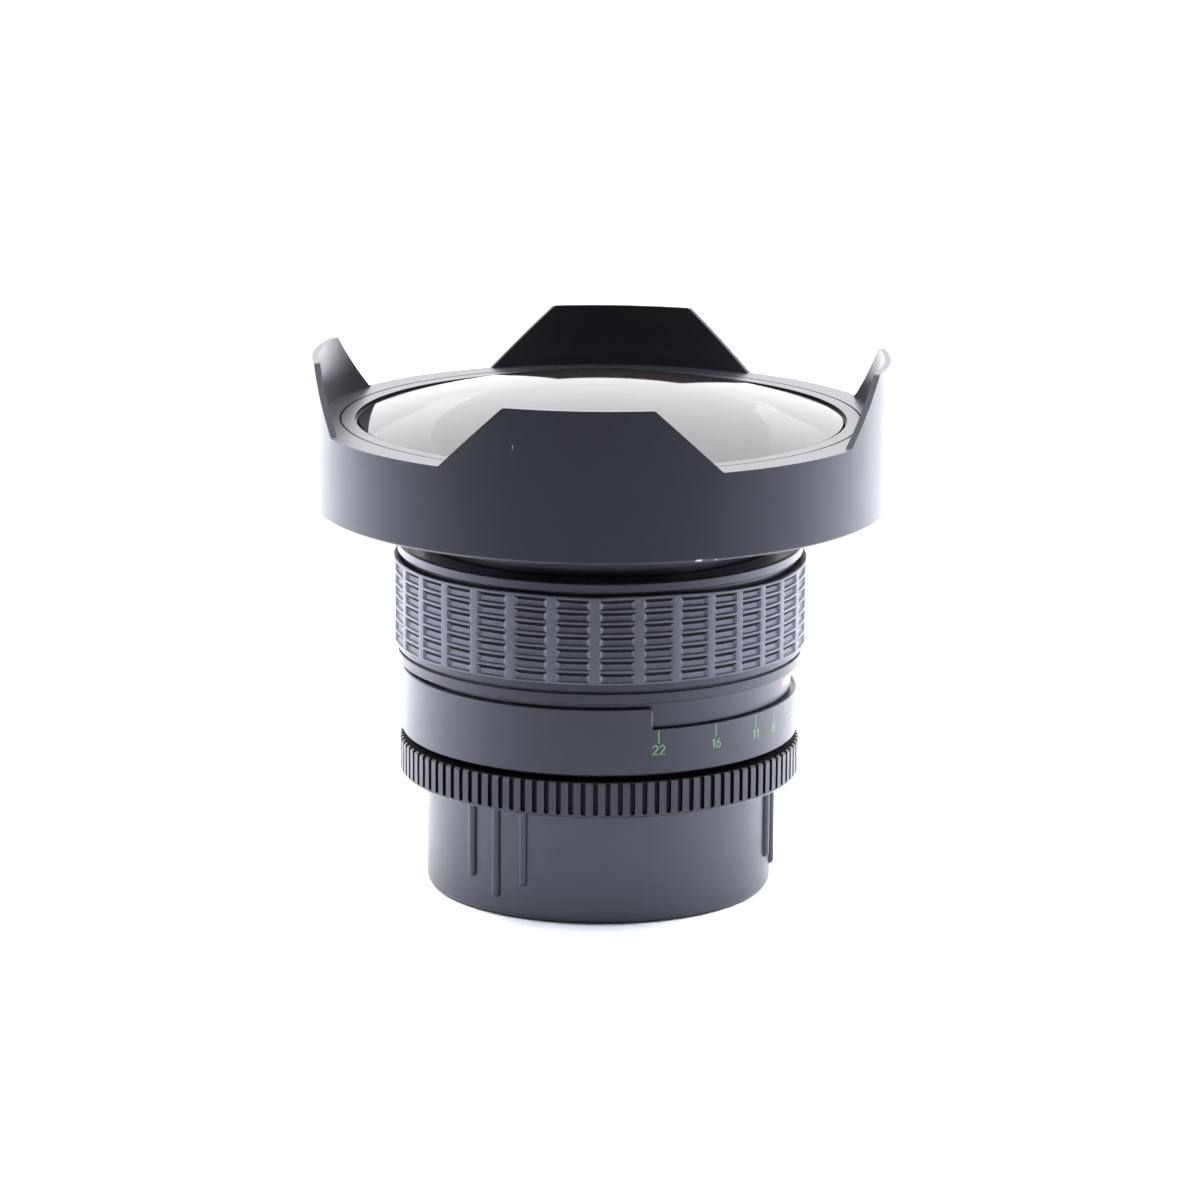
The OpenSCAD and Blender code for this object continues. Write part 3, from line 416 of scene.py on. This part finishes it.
def soft_rubber():
    """Plain black rubber of the gasket."""
    f = Finish("gasket_rubber", Specular_IOR_Level=0.3)
    grain = f.noise(f.vector(*f.place()), 4.0, 3.0)
    f.set(Base_Color=f.mix(grain, (0.008, 0.008, 0.008, 1), (0.014, 0.014, 0.014, 1)),
          Roughness=0.7 + grain * 0.15)
    return f.bump(grain, 0.02).material


STEEL = (0.52, 0.52, 0.53)
# height of the blackened upper end of the helicoid nut, in millimetres
NUT_BLACK = 4


def turned_metal(name, colour, rough, stain=0.1, black=None):
    """Bare metal with lathe lines and a little tarnish, blackened above a level."""
    f = Finish(name, Metallic=1.0)
    x, y, z = f.place()
    r, a = f.around(x, y)
    lines = f.noise(f.vector(r * 9.0, z * 9.0, a * 1.5), 1.0, 3.0, 0.65)
    cloud = f.noise(f.vector(x, y, z), 0.2, 4.0, 0.6)
    f.set(Base_Color=f.mix(cloud, shade(colour, 1.0 - stain), shade(colour, 1.0 + stain)),
          Roughness=rough + (lines - 0.5) * 0.14 + (cloud - 0.5) * 0.1)
    f.bump(lines, 0.004)
    if black:
        f.blend(f.ramp(z, black - 0.1, black + 0.1), (0.008, 0.008, 0.009), 0.6, 0.3)
    return f.material


def coated_glass(name, tint, coat, index=1.24, open_air=False):
    """Clear polished glass with a coating that tints its reflection.

    Glass that is open to the air mirrors the room where it is seen at a low angle, and has specks of dust.
    """
    f = Finish(name, Transmission_Weight=1.0, IOR=index, Specular_Tint=(*coat, 1.0))
    at = f.vector(*f.place())
    smear = f.noise(at, 0.09, 3.0, 0.6)
    f.set(Base_Color=f.mix(smear, shade(tint, 0.97), shade(tint, 1.0)), Roughness=smear * 0.006)
    if open_air:
        facing = f.node("ShaderNodeLayerWeight", values={"Blend": 0.5}, out="Facing")
        f.blend(f.ramp(facing, 0.35, 0.55) * 0.9, (0.020, 0.015, 0.016), 0.05, 0.64)
        cell = f.node("ShaderNodeTexVoronoi", values={"Vector": at, "Scale": 0.17}).socket.node
        chance = f.node("ShaderNodeSeparateColor", values={0: Wire(f, cell.outputs["Color"])}).socket.node
        pick, size = Wire(f, chance.outputs[0]), Wire(f, chance.outputs[1])
        speck = f.ramp(Wire(f, cell.outputs["Distance"]), 0.03 + size * 0.03, 0.016 + size * 0.012)
        f.blend(speck * (pick > 0.6), (0.92, 0.91, 0.9), 0.9)
    return f.material


def printed(name, colour):
    """Filled lettering paint, slightly uneven."""
    f = Finish(name, Specular_IOR_Level=0.52, Specular_Tint=COOL)
    patch = f.noise(f.vector(*f.place()), 2.2, 3.0)
    f.set(Base_Color=f.mix(patch, shade(colour, 0.8), shade(colour, 1.1)), Roughness=0.36 + patch * 0.08)
    return f.bump(patch, 0.01, 0.4).material


SHARP_EDGE = math.radians(28)


def smooth_group():
    """A modifier's node group that shades curved faces smooth and leaves sharp edges sharp."""
    tree = bpy.data.node_groups.new("smooth_by_angle", "GeometryNodeTree")
    for way in ("INPUT", "OUTPUT"):
        tree.interface.new_socket("Geometry", in_out=way, socket_type="NodeSocketGeometry")
    g = Nodes(tree)
    start = g.node("NodeGroupInput")
    bend = g.node("GeometryNodeInputMeshEdgeAngle")
    sharp = g.node("FunctionNodeCompare", {"operation": "GREATER_THAN"}, {0: bend, 1: SHARP_EDGE})
    faces = g.node("GeometryNodeSetShadeSmooth", {"domain": "FACE"}, {0: start, 2: True})
    edges = g.node("GeometryNodeSetShadeSmooth", {"domain": "EDGE"}, {0: faces, 1: sharp, 2: False})
    g.feed(tree.nodes.new("NodeGroupOutput"), 0, edges)
    return tree


def wear_finish(material, *names):
    """Gives CAD nodes their finish."""
    for name in names:
        mesh = NODES[name].data
        mesh.materials.clear()
        mesh.materials.append(material)


# Pieces


def new_piece(name, points, faces, body, material, smooth=True):
    """A mesh piece, from points in millimetres, that rides on a body."""
    mesh = bpy.data.meshes.new(name)
    mesh.from_pydata([Vector(p) * MM for p in points], [], faces)
    mesh.validate()
    if smooth:
        mesh.shade_smooth()
    else:
        mesh.shade_flat()
    mesh.materials.append(material)
    made = bpy.data.objects.new(name, mesh)
    bpy.context.scene.collection.objects.link(made)
    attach(made, body)
    return made


# how far the stretched rubber's lands lie from even spacing, in degrees, by even angle from the first land
STRETCH = ((-67.5, -0.4), (-30, -1.3), (0, 0.0), (11, 1.0), (34, -0.7), (67.5, -6.2), (110, -7.5), (200, -3.0),
           (292.5, -0.4))
# how far its top edge lies above level, in millimetres, by angle from the first land
CREEP = ((-75, -0.3), (-60, -0.25), (-45, -0.1), (-30, 0.05), (-20, 0.2), (-8, 0.05), (0, -0.1), (8, 0.1), (20, 0.15),
         (30, -0.15), (40, -0.45), (50, -0.65), (60, -0.85), (90, -0.5), (285, -0.3))
# depth of the grip's seat under the focus ring's lips, the rubber's clearance in it, and how far the rubber's inside
# stops below its top edge, in millimetres
SEAT, SEAT_GAP, INSIDE_DROP = 0.9, 0.03, 1.2
# rounding of the pockets' corners, in millimetres
SOFT = 0.06
# rounding of the band's ends: distance from the end and pull from the outside, in millimetres
BAND_END = ((0.0, 0.28), (0.10, 0.08))
# where that rounding is over, from the lower and from the upper end, in millimetres
LOW_FLAT, HIGH_FLAT = 0.24, 0.30
WAVE_SEED = 7


def between(table, at):
    """Value of a table of angles between its rows."""
    start = table[0][0]
    at = start + (at - start) % 360
    for (x0, y0), (x1, y1) in zip(table, table[1:]):
        if at <= x1:
            return y0 + (y1 - y0) * (at - x0) / (x1 - x0)
    return table[-1][1]


def slope(t, run):
    """Share of the depth at a distance t into a pocket whose wall takes so much run, with soft corners."""
    x, e = t / run, SOFT / run
    if x <= -e or x >= 1 + e:
        return 0.0 if x < 0 else 1.0
    if x < e:
        return (x + e) ** 2 / (4 * e)
    return x if x < 1 - e else 1 - (1 + e - x) ** 2 / (4 * e)


def wall_cuts(run):
    """Distances into a pocket at which a wall of so much run is cut."""
    return [-SOFT, 0.0, SOFT, run * 0.4, run * 0.7, run - SOFT, run, run + SOFT]


def grip_mesh(grip):
    """Points and faces of the grip, rows and columns of pockets on a closed band, and its faces that get painted
    shade.
    """
    low, high, out = level("grip_rubber", 0), level("grip_rubber", 1), radius("grip_rubber")
    inner = radius("focus_ring") - SEAT + SEAT_GAP
    pick = random.Random(WAVE_SEED)
    land, bar, depth, top, bottom, upper, lower, side = (getattr(grip, key) / MM for key in (
        "row_land", "column_land", "depth", "top_land", "bottom_land", "upper", "lower", "side"))
    pitch = (high - low - top - bottom + land) / grip.rows
    mouth = pitch - land

    # lines up the grip: height, share of the depth, pull of the rounded ends, row that they waver with
    lines = [(low + t, 0.0, pull, None) for t, pull in BAND_END] + [(low + LOW_FLAT, 0.0, 0.0, None)]
    dark, painted_shade_faces = set(), []
    for i in range(grip.rows):
        for t in wall_cuts(lower) + [mouth - t for t in reversed(wall_cuts(upper))]:
            # the floor falls from half the depth at the bottom to the whole of it at the top
            floor = min(1.0, 0.5 + 0.5 * t / (mouth - upper))
            share = min(slope(t, lower) * floor, slope(mouth - t, upper))
            # a pocket's upper wall, whose faces get painted shade
            if 0 < mouth - t < upper + 0.01:
                dark.add(len(lines))
            lines.append((low + bottom + i * pitch + t, share, 0.0, i))
    lines += [(high - HIGH_FLAT, 0.0, 0.0, "top")] + [(high - t, 0.0, pull, "top") for t, pull in reversed(BAND_END)]

    # turns round the grip: angle, share of the depth
    arc = 2 * math.pi * out / grip.columns
    across = [bar / 2 + t for t in wall_cuts(side)]
    steps = [0.0, *across, arc * 0.4, arc * 0.5, arc * 0.6, *(arc - t for t in reversed(across))]
    turns = []
    for j in range(grip.columns):
        for u in steps:
            even = math.degrees((j * arc + u) / out)
            angle = grip.first + math.radians(even + between(STRETCH, even))
            turns.append((angle, slope(min(u, arc - u) - bar / 2, side)))

    phase = [[pick.uniform(0, 2 * math.pi) for _ in range(3)] for _ in range(grip.rows + 1)]

    def lift(row, z, angle):
        """How far a line wavers and creeps up at an angle."""
        if row is None:
            return 0.0
        p = phase[grip.rows if row == "top" else row]
        wave = 0.5 * math.sin(grip.columns * 0.5 * angle + p[0]) + 0.5 * math.sin(11 * angle + p[1])
        wave += 0.4 * math.sin(5 * angle + p[2])
        height = (z - low) / (high - low)
        return wave * grip.waver / MM + between(CREEP, math.degrees(angle - grip.first)) * height ** 3

    points, faces = [], []
    for z, share, pull, row in lines:
        for angle, wall in turns:
            r = out - pull - depth * min(share, wall)
            points.append((r * math.cos(angle), r * math.sin(angle), z + lift(row, z, angle)))
    for z in (high - INSIDE_DROP, low):
        points += [(inner * math.cos(angle), inner * math.sin(angle), z) for angle, wall in turns]
    count, wide = len(lines) + 2, len(turns)
    for k in range(count):
        above = (k + 1) % count
        for m in range(wide):
            n = (m + 1) % wide
            if k in dark and min(turns[m][1], turns[n][1]) >= max(0.02, min(lines[k][1], lines[k + 1][1])):
                painted_shade_faces.append(len(faces))
            faces.append((k * wide + m, k * wide + n, above * wide + n, above * wide + m))
    return points, faces, painted_shade_faces


def bow(cx, cy, rx, ry, start, end, count=14):
    """Points of an elliptical arc, in degrees."""
    angles = [math.radians(start + (end - start) * i / count) for i in range(count + 1)]
    return [(cx + rx * math.cos(a), cy + ry * math.sin(a)) for a in angles]


# radius of the spring's wire, and the gap left above the pressed pin, in millimetres
SPRING_WIRE, SPRING_GAP = 0.17, 0.02
SPRING_TURNS = 4.5


def coil_mesh(middle, mean, low, high, sides=10, steps=20):
    """Points and faces of the spring's wire, wound at a mean radius from one height to another."""
    count = round(SPRING_TURNS * steps)
    points, faces = [], []
    for i in range(count + 1):
        a = 2 * math.pi * i / steps
        for k in range(sides):
            t = 2 * math.pi * k / sides
            r = mean + SPRING_WIRE * math.cos(t)
            z = low + (high - low) * i / count + SPRING_WIRE * math.sin(t)
            points.append((middle.x + r * math.cos(a), middle.y + r * math.sin(a), z))
    for i in range(count):
        for k in range(sides):
            n = (k + 1) % sides
            faces.append((i * sides + k, (i + 1) * sides + k, (i + 1) * sides + n, i * sides + n))
    faces += [tuple(range(sides)), tuple(reversed(range(count * sides, (count + 1) * sides)))]
    return points, faces


# strokes of the figures in a box 0.6 wide and 1 high
STROKES = {
    "0": [bow(0.3, 0.7, 0.28, 0.3, 0, 180) + bow(0.3, 0.3, 0.28, 0.3, 180, 360) + [(0.58, 0.7)]],
    "1": [[(0.14, 0.80), (0.34, 1.0), (0.34, 0.0)]],
    "2": [bow(0.3, 0.71, 0.27, 0.29, 170, -35) + [(0.02, 0.0), (0.60, 0.0)]],
    "3": [bow(0.28, 0.75, 0.26, 0.25, 160, -90) + bow(0.28, 0.26, 0.30, 0.26, 90, -160)],
    "5": [[(0.54, 1.0), (0.10, 1.0), (0.05, 0.54)] + bow(0.28, 0.32, 0.30, 0.32, 130, -155)],
    "6": [[(0.46, 1.0), (0.10, 0.52)] + bow(0.3, 0.31, 0.28, 0.31, 150, 510, 24)],
    "7": [[(0.02, 1.0), (0.58, 1.0), (0.20, 0.0)]],
    "8": [bow(0.3, 0.75, 0.24, 0.25, -90, 270, 22), bow(0.3, 0.25, 0.29, 0.25, 90, 450, 22)],
    ".": [[(0.06, 0.0), (0.06, 0.10)]],
    "endless": [bow(0.24, 0.45, 0.22, 0.24, 40, 320, 18) + bow(0.76, 0.45, 0.22, 0.24, 220, 500, 18)
                + [(0.41, 0.60)]],
}
# widths of the figures and the gap between two, as shares of their height
WIDE, WIDTHS, FIGURE_GAP = 0.6, {"1": 0.42, ".": 0.16, "endless": 1.0}, 0.2
# how far print stands on its surface, in millimetres
PRINT_RISE = 0.02


def figures(text, height):
    """Strokes of a number centred on nothing, in millimetres."""
    signs = ["endless"] if text == "endless" else list(text)
    total = sum(WIDTHS.get(sign, WIDE) for sign in signs) + FIGURE_GAP * (len(signs) - 1)
    at, out = -total / 2, []
    for sign in signs:
        out += [[((at + x) * height, y * height) for x, y in stroke] for stroke in STROKES[sign]]
        at += WIDTHS.get(sign, WIDE) + FIGURE_GAP
    return out


# height of the window in the depth ring's upper edge, and the gap from its sill to the lines, in millimetres
WINDOW_TALL, LINE_GAP = 4.35, 0.15
# stops of the depth scale, the one without a figure, and the angle that the last line keeps inside
STOPS, BARE_STOP, LAST_STOP = ("22", "16", "11", "8", "5.6", "3.5"), "5.6", math.radians(68.6)
# distances and how far the focus ring turns to them, in degrees
METRES = (("endless", 0), ("10", 5.6), ("5", 11.5), ("3", 17.5), ("2", 25.3), ("1.5", 34), ("1", 51.4), ("0.7", 74.4),
          ("0.5", 106), ("0.3", 184))
# red bar: length and width, and height over the sleeve's lower end, in millimetres
RED_BAR, RED_RISE, RED_ANGLE = (4.0, 1.2), 2.8, math.radians(-12)


class Print:
    """Strokes gathered into one thin printed mesh on a round surface."""

    def __init__(self, r):
        self.r, self.points, self.faces = r + PRINT_RISE, [], []

    def stroke(self, path, angle, height, width):
        """A band along a path, with mitred corners and ends that run on a little."""
        start, count = len(self.points), len(path)
        for i, (x, y) in enumerate(path):
            back, fore = path[max(0, i - 1)], path[min(count - 1, i + 1)]
            way = Vector((fore[0] - back[0], fore[1] - back[1])).normalized()
            side = Vector((-way.y, way.x)) * width / 2
            if 0 < i < count - 1:
                leg = Vector((x - back[0], y - back[1])).normalized()
                side /= max(0.5, abs(side.normalized().dot(Vector((-leg.y, leg.x)))))
            end = way * width * 0.3 * (-1 if i == 0 else 1 if i == count - 1 else 0)
            for s in (1, -1):
                turn = angle + (x + end.x + s * side.x) / self.r
                z = height + y + end.y + s * side.y
                self.points.append((self.r * math.cos(turn), self.r * math.sin(turn), z))
        for k in range(start, start + 2 * (count - 1), 2):
            self.faces.append((k, k + 1, k + 3, k + 2))

    def line(self, angle, low, high, width):
        path = [(0.0, low + (high - low) * i / 4) for i in range(5)]
        self.stroke(path, angle, 0.0, width)

    def number(self, text, angle, low, height, width):
        for path in figures(text, height):
            self.stroke(path, angle, low, width)

    def piece(self, name, body, material):
        return new_piece(name, self.points, self.faces, body, material, smooth=False)


# the floor's radius, its drop under the cap, both in metres, and its sides; the camera's frame, in millimetres
FLOOR_WIDE, FLOOR_DROP, FLOOR_SIDES = 6.0, 0.0001, 96
SENSOR_WIDE = 36.0


def lamp(scene, name, place, size, light, card=False, spread=180, tint=WHITE_LIGHT, aim=None):
    """A flat lamp that shines straight down, or at its aim.

    A card shows only in reflections, and any other lamp only lights what is dull.
    """
    data = bpy.data.lights.new(name, "AREA")
    data.shape = "RECTANGLE"
    data.size, data.size_y = size
    data.spread = math.radians(spread)
    data.color = tint
    data.energy = light * 4 * size[0] * size[1]
    made = bpy.data.objects.new(name, data)
    made.location = place
    way = Vector(aim or (place[0], place[1], 0)) - Vector(place)
    made.rotation_euler = way.to_track_quat("-Z", "Y").to_euler()
    made.visible_camera = False
    made.visible_diffuse = not card
    made.visible_glossy, made.visible_transmission = card, False
    scene.collection.objects.link(made)


# Operators


class LENS_OT_finish_shell(bpy.types.Operator):
    """Paint the hood and the rings that show, and mould the cap"""

    bl_idname = "lens.finish_shell"
    bl_label = "Finish the shell"

    def execute(self, context):
        colours = context.scene.lens_colours
        low = level("hood", 0)
        nicks = ((-66.6, low + 0.3, 0.9, 0.35, 1.0), (-102.5, low + 22.4, 0.12, 0.6, 0.4),
                 (-63, low + 0.2, 0.3, 0.25, 0.6))
        wear_finish(satin_paint(colours, "hood_paint", "hood", specular=0.31, nicks=nicks), "hood")
        wear_finish(satin_paint(colours, "front_ring_paint", "front_ring"), "front_ring")
        wear_finish(satin_paint(colours, "focus_ring_paint", "focus_ring", specular=0.44), "focus_ring")
        # a worn streak of bare metal down the window's left edge, which also paints the edge's highlight
        window_edge_highlight = ((-70.6, level("dof_ring", 1) - 2.1, 0.14, 2.4, 0.3),)
        wear_finish(satin_paint(colours, "depth_ring_paint", "dof_ring", specular=0.48, nicks=window_edge_highlight), "dof_ring")
        knurl = satin_paint(colours, "aperture_ring_paint", groove=radius("aperture_ring"), specular=0.5)
        wear_finish(knurl, "aperture_ring")
        wear_finish(satin_paint(colours, "sleeve_paint", specular=0.48), "helicoid_sleeve", "distance_scale")
        wear_finish(cap_plastic(colours), "rear_cap")
        return {"FINISHED"}


class LENS_OT_finish_works(bpy.types.Operator):
    """Give the works inside the lens their metals and blacks"""

    bl_idname = "lens.finish_works"
    bl_label = "Finish the works"

    def execute(self, context):
        wear_finish(flat_black("barrel_black"), "main_barrel", "lens_block", "rear_cell", "second_retainer",
                    "third_retainer", "front_spacer", "rear_spacer", "rear_retainer", "rear_filter_ring",
                    "nut_retainer")
        wear_finish(flat_black("iris_black", 0.9), "iris_base", "iris_drive_ring")
        wear_finish(turned_metal("mount_alloy", (0.62, 0.62, 0.63), 0.28), "mount_ring")
        wear_finish(turned_metal("bright_steel", STEEL, 0.30), "mount_screws", "guide_keys",
                    "stop_down_pin", "stop_down_spring", "aperture_arm")
        brass = turned_metal("nut_brass", (0.60, 0.42, 0.17), 0.32, 0.15, level("helicoid_nut", 1) - NUT_BLACK)
        wear_finish(brass, "helicoid_nut")
        blades = turned_metal("blade_steel", (0.055, 0.057, 0.062), 0.42, 0.2)
        wear_finish(blades, *(f"iris_blade_{i}" for i in range(1, 7)))
        wear_finish(soft_rubber(), "front_gasket")
        return {"FINISHED"}


class LENS_OT_finish_glass(bpy.types.Operator):
    """Polish and coat the glasses"""

    bl_idname = "lens.finish_glass"
    bl_label = "Finish the glass"

    def execute(self, context):
        front = coated_glass("front_glass", (0.99, 0.98, 0.95), (0.8, 0.92, 1.0), index=1.22, open_air=True)
        wear_finish(front, "front_element")
        wear_finish(coated_glass("second_glass", (0.98, 0.98, 0.97), (0.5, 0.9, 0.6)), "second_element")
        wear_finish(coated_glass("violet_glass", (0.98, 0.98, 0.98), (0.6, 0.4, 1.0)),
                    "third_element", "fifth_element", "seventh_element", "ninth_element")
        wear_finish(coated_glass("amber_glass", (0.98, 0.97, 0.95), (1.0, 0.7, 0.3)),
                    "fourth_element", "sixth_element", "eighth_element", "tenth_element")
        wear_finish(coated_glass("filter_glass", (0.98, 0.99, 0.98), (0.9, 1.0, 0.9)), "rear_filter")
        return {"FINISHED"}


class LENS_OT_mould_grip(bpy.types.Operator):
    """Mould the rubber grip with its pockets"""

    bl_idname = "lens.mould_grip"
    bl_label = "Mould the grip"

    def execute(self, context):
        points, faces, painted_shade_faces = grip_mesh(context.scene.lens_grip)
        made = new_piece("moulded_grip", points, faces, "focus_ring",
                         grip_rubber(context.scene.lens_colours))
        # painted shade: the pockets' upper walls get a near-black rubber
        made.data.materials.append(painted_shade_rubber())
        for k in painted_shade_faces:
            made.data.polygons[k].material_index = 1
        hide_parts("grip_rubber")
        return {"FINISHED"}


class LENS_OT_wind_spring(bpy.types.Operator):
    """Wind the spring of the stop-down pin"""

    bl_idname = "lens.wind_spring"
    bl_label = "Wind the spring"

    def execute(self, context):
        low, high = (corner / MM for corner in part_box("stop_down_spring"))
        joint = next(j for j in frame["record"]["behaviour"]["joints"] if j["name"] == "stop_down")
        travel = joint["range_m"][1] / MM
        mean = (high.x - low.x) / 2 - SPRING_WIRE
        points, faces = coil_mesh((low + high) / 2, mean, low.z + SPRING_WIRE, high.z - SPRING_WIRE)
        made = new_piece("wound_spring", points, faces, "barrel", turned_metal("spring_steel", STEEL, 0.3))
        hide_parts("stop_down_spring")
        tall = high.z - low.z
        (tall - travel - SPRING_GAP) / tall
        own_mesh(made)
        return {"FINISHED"}


class LENS_OT_print_scales(bpy.types.Operator):
    """Print the depth scale, the index and the distance scale"""

    bl_idname = "lens.print_scales"
    bl_label = "Print the scales"

    def execute(self, context):
        scales, colours = context.scene.lens_scales, context.scene.lens_colours
        width, tall = scales.line / MM, scales.figure / MM
        sill = level("dof_ring", 1) - WINDOW_TALL
        line_top = sill - LINE_GAP

        depth = Print(radius("dof_ring"))
        for stop in STOPS:
            for side in (-1, 1):
                angle = side * min(float(stop) * scales.stop_angle, LAST_STOP)
                depth.line(angle, sill - 2.7, line_top, width)
                if stop != BARE_STOP:
                    depth.number(stop, angle, sill - 5.0, tall, width * 1.1)
        depth.piece("depth_marks", "barrel", printed("depth_paint", colours.depth_marks))

        index = Print(radius("dof_ring"))
        index.line(0.0, sill - 6.2, line_top, width * 1.5)
        index.piece("index_mark", "barrel", printed("index_paint", colours.white_marks))

        metres = Print(radius("distance_scale"))
        base = level("distance_scale", 0)
        for text, turn in METRES:
            metres.number(text, math.radians(turn), base + 1.5, tall * 0.95, width * 0.9)
            metres.line(math.radians(turn), base + 0.3, base + 1.1, width * 0.9)
        metres.piece("distance_marks", "focus_ring", printed("distance_paint", colours.white_marks))

        red = Print(radius("distance_scale"))
        half, bar_tall = RED_BAR[0] / 2, RED_BAR[1]
        path = [(half * t, 0.0) for t in (-1.0, -0.5, 0.0, 0.5, 1.0)]
        red.stroke(path, RED_ANGLE, base + RED_RISE, bar_tall)
        red.piece("infrared_mark", "focus_ring", printed("red_paint", colours.red_marks))
        return {"FINISHED"}


class LENS_OT_set_studio(bpy.types.Operator):
    """Lay the pale floor, light the room softly and set the camera"""

    bl_idname = "lens.set_studio"
    bl_label = "Set the studio"

    def execute(self, context):
        scene, studio = context.scene, context.scene.lens_studio
        self.lay_floor(scene)
        self.light_room(scene, studio)
        self.set_lamps(scene, studio)
        self.set_camera(scene, studio)
        return {"FINISHED"}

    def lay_floor(self, scene):
        turns = [2 * math.pi * i / FLOOR_SIDES for i in range(FLOOR_SIDES)]
        rim = [(FLOOR_WIDE * math.cos(t), FLOOR_WIDE * math.sin(t), -FLOOR_DROP) for t in turns]
        mesh = bpy.data.meshes.new("floor")
        mesh.from_pydata(rim, [], [tuple(range(FLOOR_SIDES))])
        paper = Finish("floor_paper", Specular_IOR_Level=0.2)
        tooth = paper.noise(paper.vector(*paper.place()), 1.5, 3.0)
        paper.set(Base_Color=paper.mix(tooth, (0.84, 0.845, 0.855, 1), (0.86, 0.865, 0.875, 1)),
                  Roughness=0.6 + tooth * 0.1)
        mesh.materials.append(paper.material)
        floor = bpy.data.objects.new("floor", mesh)
        scene.collection.objects.link(floor)

    def light_room(self, scene, studio):
        world = bpy.data.worlds.new("white_room")
        world.use_nodes = True
        scene.world = world
        room = Nodes(world.node_tree)
        across, ahead, up = room.parts(room.node("ShaderNodeTexCoord", out="Generated"))
        behind = room.ramp(abs(across), 0.75, 0.5) * room.ramp(ahead, 0.0, 0.3)
        glow = behind * (1.7 + up * 2.2)
        front = room.ramp(ahead, 0.2, -0.5) * room.ramp(up, 0.0, 0.4)
        sky = world.node_tree.nodes["Background"]
        room.feed(sky, "Color", room.mix(behind, (0.92, 0.96, 1.06, 1), (1.0, 0.985, 1.015, 1)))
        room.feed(sky, "Strength", studio.room + front * studio.front + glow * studio.glow)

    def set_lamps(self, scene, studio):
        floor, cards = studio.floor, studio.cards
        for side in (-1, 1):
            lamp(scene, "floor_lamp", (side * 0.46, 0.16, 0.35), (0.5, 0.5), 9 * floor, spread=140, tint=COOL_LIGHT)
            lamp(scene, "side_card", (side * 2.2, 0.5, 0.7), (4.0, 1.6), 2.6 * cards, card=True, tint=COOL_LIGHT,
                 aim=(0, 0.5, 0.7))
        lamp(scene, "back_lamp", (0, 0.6, 0.35), (1.0, 0.4), 6 * floor, spread=150)
        lamp(scene, "near_lamp", (0, -0.13, 0.5), (0.7, 0.08), 1.2 * floor, spread=60)
        lamp(scene, "far_lamp", (0, 1.7, 1.0), (4.0, 1.2), 2.8 * floor, spread=130)
        lamp(scene, "top_card", (0, -0.35, 1.4), (2.6, 1.9), 3.3 * cards, card=True)

    def set_camera(self, scene, studio):
        data = bpy.data.cameras.new("camera")
        data.lens, data.sensor_width = studio.focal, SENSOR_WIDE
        data.clip_start, data.clip_end = 0.01, 50.0
        camera = bpy.data.objects.new("camera", data)
        scene.collection.objects.link(camera)
        a = studio.azimuth
        camera.location = (studio.distance * math.sin(a), -studio.distance * math.cos(a), studio.height)
        turn = Matrix.Rotation(a, 4, "Z") @ Matrix.Rotation(math.pi / 2 - studio.pitch, 4, "X")
        camera.rotation_euler = (turn @ Matrix.Rotation(studio.roll, 4, "Z")).to_euler()
        scene.camera = camera
        scene.view_settings.view_transform = "Standard"


OPERATORS = (LENS_OT_finish_shell, LENS_OT_finish_works, LENS_OT_finish_glass, LENS_OT_mould_grip,
             LENS_OT_wind_spring, LENS_OT_print_scales, LENS_OT_set_studio)


class LENS_PT_dress(bpy.types.Panel):
    """The steps that dress the lens, and their sizes"""

    bl_idname = "LENS_PT_dress"
    bl_label = "Fisheye lens"
    bl_space_type = "VIEW_3D"
    bl_region_type = "UI"
    bl_category = "Lens"

    def draw(self, context):
        for name, group in GROUPS.items():
            box = self.layout.box()
            for key in group.__annotations__:
                box.prop(getattr(context.scene, name), key)
        for operator in OPERATORS:
            self.layout.operator(operator.bl_idname)


CLASSES = (*GROUPS.values(), *OPERATORS, LENS_PT_dress)


def register():
    for c in CLASSES:
        bpy.utils.register_class(c)
    for name, group in GROUPS.items():
        setattr(bpy.types.Scene, name, PointerProperty(type=group))


def unregister():
    for name in GROUPS:
        delattr(bpy.types.Scene, name)
    for c in reversed(CLASSES):
        bpy.utils.unregister_class(c)


def main():
    register()
    bpy.ops.lens.finish_shell()
    bpy.ops.lens.finish_works()
    bpy.ops.lens.finish_glass()
    bpy.ops.lens.mould_grip()
    bpy.ops.lens.wind_spring()
    bpy.ops.lens.print_scales()
    group = smooth_group()
    for node in NODES.values():
        node.modifiers.new("smooth", "NODES").node_group = group
    bpy.ops.lens.set_studio()


if __name__ == "__main__":
    main()
